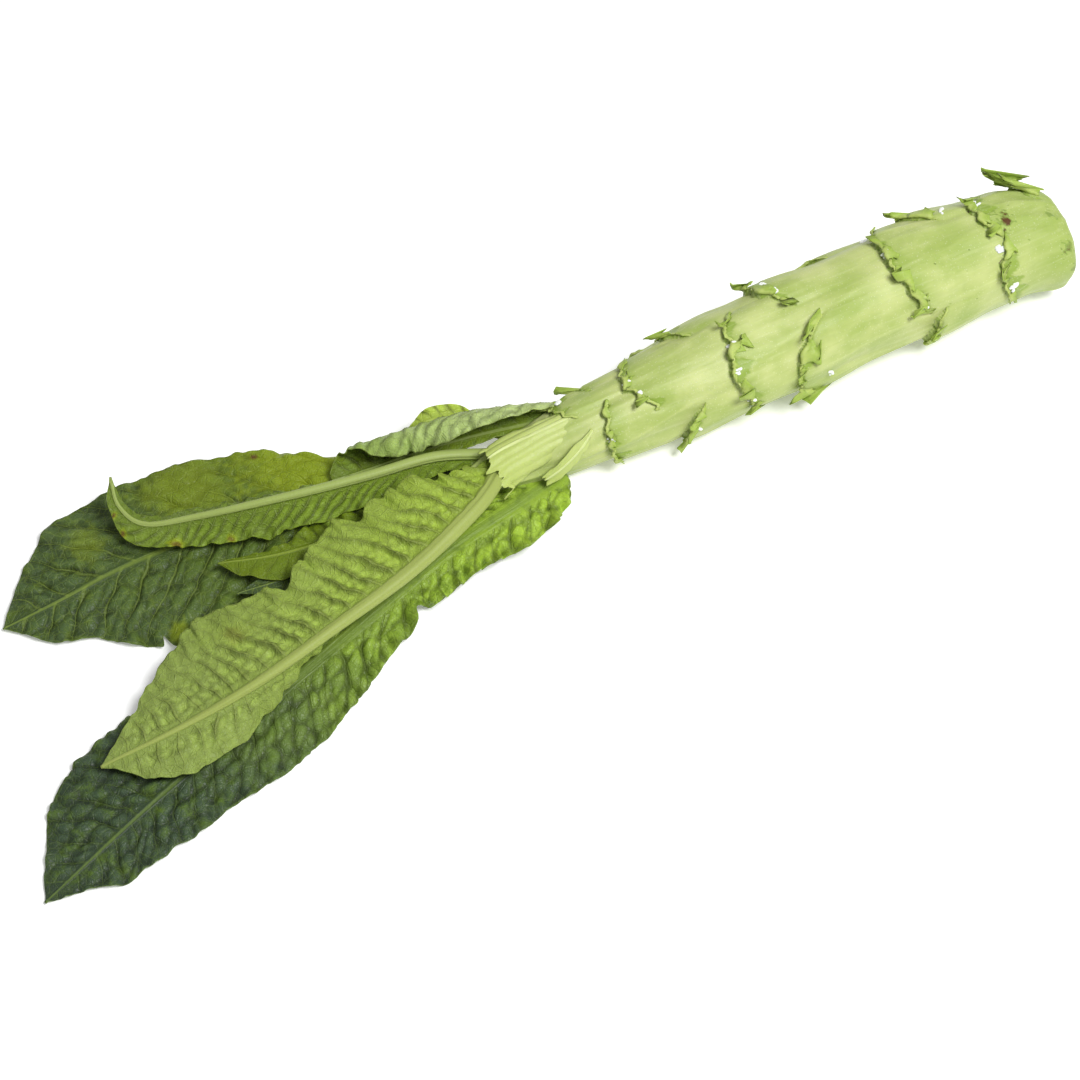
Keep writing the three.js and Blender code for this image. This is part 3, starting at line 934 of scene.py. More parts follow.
@dataclass
class TornBases:
    """The thin torn remains of the leaf bases, one piece for each torn edge."""

    stem: Stem
    plan: Plan
    finish: TatterFinish = field(default_factory=TatterFinish)
    thickness: float = 0.45
    rows: int = 14
    spacing: float = 0.75
    reach: float = 0.97

    def build(self) -> None:
        """Models every torn base."""
        material = tatter_material(self.finish)
        for number, scar in enumerate((s for s in SCARS if s.torn), start=1):
            self.one(scar, f"torn_leaf_base_{number:02d}", material)

    def one(self, scar: Scar, node: str, material: bpy.types.Material) -> None:
        """Models one torn base.

        Args:
            scar: Where it is and what stands on it.
            node: The CAD node that it takes the place of.
            material: Its finish.
        """
        seed = int(scar.at) + 7
        width = 2 * scar.span * self.reach
        columns = int(math.radians(width) * 26 / self.spacing)
        piece, column, row = new_grid(node.replace("leaf_base", "edge"), columns, self.rows)
        across = np.linspace(-self.reach, self.reach, columns + 1)
        degrees = scar.turn + across * scar.span
        turn = degrees - scar.turn
        length = 0.1 + 4.2 * np.clip(noise(turn / 8, turn * 0, seed, 3) - 0.36, 0, 2)
        curl = 150 + 70 * noise(turn / 14, turn * 0 + 9, seed, 2)
        for tatter in scar.tatters:
            away = (turn - tatter.across * scar.span) / (tatter.width * 1.25)
            weight = np.clip(1 - np.abs(away) ** 1.6, 0, 1)
            ragged = 1 + 0.3 * noise(turn / 1.7, turn * 0 + 5, seed, 2)
            length = np.maximum(length, 1.25 * tatter.length * weight**0.6 * ragged)
            curl = curl * (1 - weight) + tatter.curl * weight
        length *= smooth(1 - np.abs(across) / self.reach, 0, 0.1) * 0.9 + 0.1
        at, _ = self.stem.edge(scar, degrees)
        held = 1.6
        t = np.linspace(0, 1, self.rows + 1)
        # Each strip leaves the skin behind the edge, passes it, and turns over towards the base.
        start = 4 + 16 * noise(turn / 11, turn * 0 + 1, seed)
        total = held + length
        gone = t[None, :] * total[:, None]
        free = np.clip((gone - held) / np.maximum(length, 0.2)[:, None], 0, 1)
        over = np.where(curl > 75, 172.0, curl)[:, None]
        turned = np.where(over > 75, smooth(free, 0.0, 0.30), free)
        angle = np.radians(start[:, None] * smooth(gone, 0.5, held) + over * turned)
        pace = np.diff(gone, axis=1, prepend=0)
        back = np.cumsum(-np.cos(angle) * pace, axis=1)
        up = np.cumsum(np.sin(angle) * pace, axis=1)
        x = at[:, None] + held + back
        wobble = 10 * noise(turn[:, None] / 7, gone / 4, seed + 2, 2) * free**1.5
        around = degrees[:, None] + wobble
        root = self.stem.radius(at + held) + self.stem.swelling(at + held, degrees)
        crumple = 0.35 * noise(turn[:, None] / 2.6, gone / 2.5, seed + 3, 2) * free
        reach = root[:, None] - 0.55 + up + crumple + 0.5 * smooth(gone, held, held + 1.2)
        here = self.stem.radius(x) + self.stem.swelling(x, around)
        clear = 0.35 * smooth(length, 0.4, 1.6)[:, None] - 0.4 * smooth(length, 0.8, 0.2)[:, None]
        reach = np.where(free > 0, np.maximum(reach, here + clear), reach)
        # Strips follow the stem's centre line, and stop just past its cut end.
        points = self.stem.surface(np.minimum(x, STEM_END + 4), around, reach)
        points[..., 2] = np.maximum(points[..., 2], 0.5)
        set_points(piece, self.plan.place(points[column, row]))
        thicken(piece, self.thickness * MM)
        dry = scar.dry * (0.6 + 0.8 * noise(turn / 8, turn * 0 + 21, seed, 2))
        torn = np.stack(np.broadcast_arrays(free, dry[:, None] * (0.3 + 0.9 * free), up / 8), -1)[column, row]
        set_attribute(piece, "torn", np.concatenate([torn, torn]))
        hand_over(piece, node, material)


@dataclass
class MilkySap:
    """Drops of dried white sap on the torn edges: places as (distance, angle, size, count)."""

    stem: Stem
    plan: Plan
    places: tuple[tuple[float, float, float, int], ...] = (
        (17, 130, 1.1, 4),
        (32, 33, 0.9, 4),
        (50, 96, 1.0, 6),
        (52, 72, 0.8, 3),
        (76, -2, 0.8, 3),
        (103, 75, 1.2, 5),
        (101, 50, 1.2, 6),
        (105, 10, 0.9, 3),
        (138, 110, 1.1, 4),
        (136, 128, 0.9, 3),
        (150, 4, 1.0, 3),
        (197, 138, 1.3, 5),
        (198, 95, 1.4, 6),
        (205, 30, 0.9, 3),
        (238, 120, 0.9, 3),
        (255, 109, 1.2, 5),
        (254, 56, 1.6, 7),
        (256, 14, 1.1, 5),
        (170, 200, 1.0, 4),
        (70, 200, 0.9, 4),
    )

    def build(self) -> bpy.types.Object:
        """Models the drops as one piece."""
        drops = []
        for number, (at, turn, size, count) in enumerate(self.places):
            for i in range(count + 2):
                pick = hashed(np.array([number * 31.0 + i]), np.array([i * 7.0]), 77)[0]
                other = hashed(np.array([number * 13.0 + i]), np.array([i * 3.0]), 41)[0]
                here_x = np.array([at + 1.0 + (pick - 0.5) * 3.0])
                here_turn = np.array([turn + (other - 0.5) * 7.0])
                middle = self.stem.outside(here_x, here_turn, 0.25)[0]
                radius = size * (0.55 + 0.6 * pick * other + 0.25 * other)
                drops.append((self.plan.place(middle), radius * MM))
        bpy.ops.object.select_all(action="DESELECT")
        made = []
        for middle, radius in drops:
            bpy.ops.mesh.primitive_ico_sphere_add(subdivisions=3, radius=radius, location=tuple(middle))
            drop = bpy.context.object
            drop.scale = (1.25, 0.9, 0.75)
            bpy.ops.object.transform_apply(location=True, rotation=True, scale=True)
            made.append(drop)
        bpy.ops.object.select_all(action="DESELECT")
        for drop in made:
            drop.select_set(True)
        bpy.context.view_layer.objects.active = made[0]
        bpy.ops.object.join()
        piece = bpy.context.object
        piece.name = "milky_sap"
        points = get_points(piece)
        lumps = 0.00025 * noise(points[:, 0] * 700, points[:, 1] * 700 + points[:, 2] * 500, 13, 2)
        set_points(piece, points + vertex_normals(piece) * lumps[:, None])
        hand_over(piece, "", latex_material())
        return piece


# ------------------------------------------------------------------ leaves


@dataclass(frozen=True)
class Half:
    """One half of a leaf, from midrib to margin, at even steps from base to tip.

    width in millimetres. fold is its angle at the midrib, curl the turn it gathers out to the
    margin, and edge a last turn near the margin, in degrees. pucker is the height of the pads
    between side veins and ruffle the height of the margin's waves, in millimetres. notches are
    (place along, depth, length) in the margin.
    """

    width: tuple[float, ...]
    fold: tuple[float, ...] = (0, 0)
    curl: tuple[float, ...] = (0, 0)
    edge: tuple[float, ...] = (0, 0)
    pucker: tuple[float, ...] = (1.2, 1.2)
    ruffle: tuple[float, ...] = (0.6, 0.6)
    notches: tuple[tuple[float, float, float], ...] = ()


@dataclass(frozen=True)
class LeafPlan:
    """Everything that sets one leaf apart from the others. Lengths are in millimetres."""

    node: str
    slot: str
    finish: LeafFinish
    spine: tuple[tuple[float, float, float], ...]
    front: Half
    back: Half
    up: Side = Side.TOP
    roll: tuple[float, ...] = (0, 0)
    thickness: float = 0.65
    rib: tuple[float, float, float] = (4.5, 0.8, 2.6)
    spacing: float = 11.0
    lean: float = 0.45
    fade: float = 0.35
    blister: tuple[float, float] = (6.5, 0.7)
    wave: float = 16.0
    ragged: float = 0.8
    ridges: tuple[float, float] = (5.0, 0.0)
    tear: float = 0.0
    sway: float = 0.9
    columns: int = 200
    rows: int = 60
    seed: int = 1
    spots: tuple[tuple[float, float, float, float, float], ...] = ()


class Leaf:
    """Models a leaf from its plan."""

    SECTION_STEPS = 64

    def __init__(self, made_as: LeafPlan, plan: Plan, group: bpy.types.NodeTree) -> None:
        self.made_as = made_as
        self.plan = plan
        self.group = group

    def reach(self, half: Half, u: np.ndarray, share: np.ndarray, width: np.ndarray) -> tuple:
        """How far a half's section has gone, sideways and up, at shares of its width."""
        steps = self.SECTION_STEPS
        at = np.linspace(0, 1, steps + 1)
        angle = through(half.fold, u)[:, None] + through(half.curl, u)[:, None] * at
        angle = np.radians(angle + through(half.edge, u)[:, None] * smooth(at, 0.6, 1))
        i = np.minimum((share * steps).astype(int), steps - 1)
        part = share * steps - i
        found = []
        for turned in (np.cos(angle), np.sin(angle)):
            middle = (turned[:, 1:] + turned[:, :-1]) / 2 / steps
            total = np.concatenate([np.zeros((len(u), 1)), np.cumsum(middle, axis=1)], axis=1)
            found.append((total[:, i] * (1 - part) + total[:, i + 1] * part) * width[:, None])
        return found[0], found[1]

    def half_width(self, half: Half, u: np.ndarray, along: np.ndarray, side: int) -> np.ndarray:
        """A half's width, with its uneven margin and notches."""
        p = self.made_as
        width = through(half.width, u)
        uneven = p.ragged * (noise(along / 13, along * 0 + side * 5.5, p.seed + 3, 3) * 1.5)
        teeth = p.ragged * 0.3 * np.clip(noise(along / 2.6, along * 0 + side * 8, p.seed + 4), 0, 1)
        width = width + (uneven + teeth) * smooth(width, 1, 8)
        for place, depth, length in half.notches:
            width = width - depth * np.exp(-(((u - place) / length) ** 2))
        return np.maximum(width, 0.5)

    def build(self) -> bpy.types.Object:
        """Models the leaf."""
        p = self.made_as
        piece, column, row = new_grid(p.node + "_blade", p.columns, p.rows)
        u = np.linspace(0, 1, p.columns + 1)
        v = np.linspace(-1, 1, p.rows + 1)
        s = np.sign(v) * np.abs(v) ** 1.25
        spine = through(p.spine, u)
        along = np.concatenate([[0], np.cumsum(np.linalg.norm(np.diff(spine, axis=0), axis=1))])
        ahead = unit(through(p.spine, np.clip(u + 0.004, 0, 1)) - through(p.spine, np.clip(u - 0.004, 0, 1)))
        side = unit(np.cross([0.0, 0.0, 1.0], ahead))
        over = np.cross(ahead, side)
        roll = np.radians(through(p.roll, u))[:, None]
        side, over = np.cos(roll) * side + np.sin(roll) * over, np.cos(roll) * over - np.sin(roll) * side
        points = np.zeros((p.columns + 1, p.rows + 1, 3))
        distance = np.zeros(points.shape[:2])
        pucker = np.zeros(points.shape[:2])
        ruffle = np.zeros(points.shape[:2])
        for half, sign in ((p.front, 1), (p.back, -1)):
            mine = s >= 0 if sign > 0 else s < 0
            width = self.half_width(half, u, along, sign)
            sideways, up = self.reach(half, u, np.abs(s[mine]), width)
            points[:, mine] = (
                spine[:, None] + sign * sideways[..., None] * side[:, None] + up[..., None] * over[:, None]
            )
            distance[:, mine] = sign * width[:, None] * np.abs(s[mine])
            pucker[:, mine] = through(half.pucker, u)[:, None]
            ruffle[:, mine] = through(half.ruffle, u)[:, None]
        b = np.abs(distance)
        a = np.broadcast_to(along[:, None], b.shape)
        share = np.broadcast_to(np.abs(s), b.shape)
        uu = np.broadcast_to(u[:, None], b.shape)
        rib_width = p.rib[1] + (p.rib[0] - p.rib[1]) * (1 - uu) ** 0.9
        phase = np.where(distance < 0, 0.5, 0.0)
        bow = 0.0045 * b**2
        stray = 2.8 * noise(a / 19, distance / 15, p.seed + 8, 2)
        stray = stray + 0.8 * noise(a / 6, distance / 6, p.seed + 9)
        vein = (a - p.lean * b - bow + stray) / p.spacing + phase
        pads = np.abs(np.sin(math.pi * vein)) ** 0.75
        near_vein = np.exp(-((np.abs((vein + 0.5) % 1 - 0.5) / 0.09) ** 2))
        size, blister = p.blister
        first, second = cells(vein * p.spacing / size, distance / size, p.seed + 20)
        blisters = smooth(second - first, 0.0, 0.5)
        beyond_rib = smooth(b, rib_width * 0.7, rib_width + 5)
        held = beyond_rib * smooth(1 - uu, 0.0, 0.08) * (1 - p.fade * smooth(share, 0.25, 0.8))
        uneven = np.clip(0.72 + 0.75 * noise(a / 15, distance / 11, p.seed + 12, 2), 0.15, 1.5)
        raised = pucker * uneven * (pads - 0.6) - 0.35 * pucker * near_vein
        raised = (raised + blister * (blisters - 0.5) * smooth(pucker, 0, 1)) * held
        raised += 0.25 * blister * noise(a / 3.2, distance / 3.2, p.seed + 30, 2) * beyond_rib
        puff = np.clip(raised / np.maximum(pucker.max(), 0.4), -1, 1)
        turns = a / p.wave + 0.5 * noise(a / 24, phase * 7, p.seed + 9, 2)
        waves = np.sin(2 * math.pi * turns) + 0.45 * np.sin(4.6 * math.pi * turns + 1.3)
        raised = raised * p.up.value + ruffle * waves * smooth(share, 0.5, 1.0) ** 1.3
        raised += p.sway * noise(a / 34, distance / 24, p.seed + 11, 2) * smooth(b, 0, 12)
        step, height = p.ridges
        strand = distance + 1.5 * noise(a / 20, distance / 9, p.seed)
        raised += height * (np.abs(np.sin(math.pi * strand / step)) - 0.5)
        downwards = np.gradient(points, axis=0)
        across = np.gradient(points, axis=1)
        normal = unit(np.cross(downwards, across))
        points = points + normal * raised[..., None]
        torn = p.tear * (noise(distance / 2.8, distance * 0, p.seed + 40, 3) - 0.3) * smooth(uu, 0.75, 1.0)
        points = points + torn[..., None] * ahead[:, None]
        points[..., 2] = np.maximum(points[..., 2], 0.9)
        set_points(piece, self.plan.place(points[column, row]))
        piece.data.update()
        thicken(piece, p.thickness * MM)
        self.raise_rib(piece, distance[column, row], rib_width[column, row], uu[column, row])
        self.store(piece, column, row, a, distance, uu, share, vein, rib_width, puff)
        hand_over(piece, p.node, leaf_material(p.node, p.finish, self.group))
        return piece

    def raise_rib(self, piece: bpy.types.Object, b: np.ndarray, rib: np.ndarray, u: np.ndarray) -> None:
        """Stands the midrib out of the underside, and sinks it a little on the top."""
        p = self.made_as
        points = get_points(piece)
        normals = vertex_normals(piece)
        count = len(points) // 2
        own, other = np.arange(count), np.arange(count, 2 * count)
        under, top = (own, other) if p.up is Side.UNDERSIDE else (other, own)
        profile = np.clip(1 - (b / rib) ** 2, 0, 1) ** 0.75
        flare = 0.22 * np.exp(-((b / (rib * 2.0)) ** 2))
        tall = p.rib[2] * (rib / p.rib[0]) * smooth(1 - u, 0, 0.03)
        grooves = 0.12 * np.cos(b / rib * 9) * (profile > 0)
        points[under] += normals[under] * ((profile + flare + grooves * profile) * tall * MM)[:, None]
        points[top] -= normals[top] * (0.16 * profile * tall * MM)[:, None]
        points[:, 2] = np.maximum(points[:, 2], 0.0002)
        set_points(piece, points)

    def store(
        self,
        piece: bpy.types.Object,
        column: np.ndarray,
        row: np.ndarray,
        a: np.ndarray,
        b: np.ndarray,
        u: np.ndarray,
        share: np.ndarray,
        vein: np.ndarray,
        rib: np.ndarray,
        puff: np.ndarray,
    ) -> None:
        """Stores what the material reads: place on the blade, veins, rib, pads and spots."""
        p = self.made_as
        brown = np.zeros(a.shape)
        yellow_and_painted_light = np.zeros(a.shape)
        signed = np.sign(b) * share
        for place, out, size, browned, yellowing_and_painted_light in p.spots:
            length = a.max()
            width = np.maximum(np.abs(b).max(axis=1, keepdims=True), 1)
            away = np.hypot((u - place) * length, (signed - out) * width)
            away = away * (1 + 0.35 * noise(a / 2.5, b / 2.5, p.seed + 60, 2))
            brown = np.maximum(brown, browned * smooth(away, size, size * 0.35))
            yellow_and_painted_light = np.maximum(yellow_and_painted_light, yellowing_and_painted_light * smooth(away, size * 1.8, size * 0.4))
        rib_mask = smooth(np.abs(b), rib * 1.15, rib * 0.65)
        thin = smooth(np.abs(b), rib * 0.62, rib * 0.30)
        flat = [x[column, row] for x in (share, u, vein, rib_mask, puff, brown, yellow_and_painted_light, a, b, thin)]
        count = len(flat[0])
        own_top = 1.0 if p.up is Side.TOP else 0.0
        twice = [np.concatenate([x, x]) for x in flat]
        top = np.concatenate([np.full(count, own_top), np.full(count, 1 - own_top)])
        set_attribute(piece, "blade", np.stack([twice[0], twice[1], top], -1))
        set_attribute(piece, "flow", np.stack([twice[2], twice[3], twice[4]], -1))
        set_attribute(piece, "paint", np.stack([twice[5], twice[6], twice[9]], -1))
        set_uv(piece, np.stack([twice[7], twice[8]], -1) * MM)


DARK = LeafFinish(
    top_base=(0.080, 0.130, 0.010),
    top_tip=(0.056, 0.092, 0.030),
    under_base=(0.26, 0.36, 0.09),
    under_tip=(0.17, 0.25, 0.10),
    rib=(0.25, 0.34, 0.06),
    rim=(0.20, 0.30, 0.02),
    dapple=(0.085, 0.135, 0.010),
    vein=0.7,
    net=0.42,
    roughness=0.48,
)
LOWER_FRONT = LeafFinish(
    top_base=(0.290, 0.430, 0.040),
    top_tip=(0.040, 0.066, 0.034),
    under_base=(0.26, 0.38, 0.08),
    under_tip=(0.17, 0.25, 0.10),
    rib=(0.17, 0.25, 0.05),
    rim=(0.20, 0.31, 0.03),
    dapple=(0.085, 0.145, 0.010),
    vein=0.4,
    net=0.30,
    roughness=0.46,
    ramp=(0.22, 0.80),
)
PALE_BACK = LeafFinish(
    top_base=(0.17, 0.27, 0.020),
    top_tip=(0.10, 0.16, 0.030),
    under_base=(0.310, 0.430, 0.048),
    under_tip=(0.275, 0.365, 0.080),
    rib=(0.32, 0.385, 0.095),
    rim=(0.36, 0.46, 0.10),
    dapple=(0.210, 0.310, 0.030),
    vein=0.55,
    net=0.22,
    roughness=0.56,
)
FOLDED = LeafFinish(
    top_base=(0.20, 0.31, 0.012),
    top_tip=(0.14, 0.21, 0.020),
    under_base=(0.19, 0.29, 0.022),
    under_tip=(0.16, 0.235, 0.025),
    rib=(0.32, 0.40, 0.11),
    rim=(0.30, 0.42, 0.030),
    dapple=(0.10, 0.165, 0.008),
    vein=0.6,
    net=0.2,
    roughness=0.52,
)
YOUNG = LeafFinish(
    top_base=(0.15, 0.225, 0.006),
    top_tip=(0.140, 0.205, 0.008),
    under_base=(0.21, 0.29, 0.015),
    under_tip=(0.22, 0.30, 0.03),
    rib=(0.30, 0.38, 0.06),
    rim=(0.34, 0.42, 0.06),
    dapple=(0.13, 0.20, 0.012),
    vein=0.3,
    net=0.2,
    roughness=0.5,
)
CURLED = LeafFinish(
    top_base=(0.17, 0.25, 0.012),
    top_tip=(0.15, 0.22, 0.016),
    under_base=(0.46, 0.57, 0.22),
    under_tip=(0.27, 0.39, 0.075),
    rib=(0.42, 0.52, 0.17),
    rim=(0.40, 0.50, 0.13),
    dapple=(0.21, 0.32, 0.05),
    vein=0.4,
    net=0.18,
    roughness=0.52,
)
CREST = LeafFinish(
    top_base=(0.42, 0.53, 0.07),
    top_tip=(0.36, 0.47, 0.06),
    under_base=(0.42, 0.53, 0.09),
    under_tip=(0.38, 0.49, 0.08),
    rib=(0.50, 0.60, 0.16),
    rim=(0.46, 0.56, 0.12),
    dapple=(0.34, 0.45, 0.05),
    vein=0.3,
    net=0.15,
    roughness=0.5,
)
SHEATH = LeafFinish(
    top_base=(0.50, 0.58, 0.18),
    top_tip=(0.48, 0.58, 0.15),
    under_base=(0.56, 0.65, 0.22),
    under_tip=(0.50, 0.60, 0.16),
    rib=(0.60, 0.68, 0.28),
    rim=(0.52, 0.62, 0.22),
    dapple=(0.44, 0.54, 0.13),
    vein=0.0,
    net=0.03,
    roughness=0.45,
)

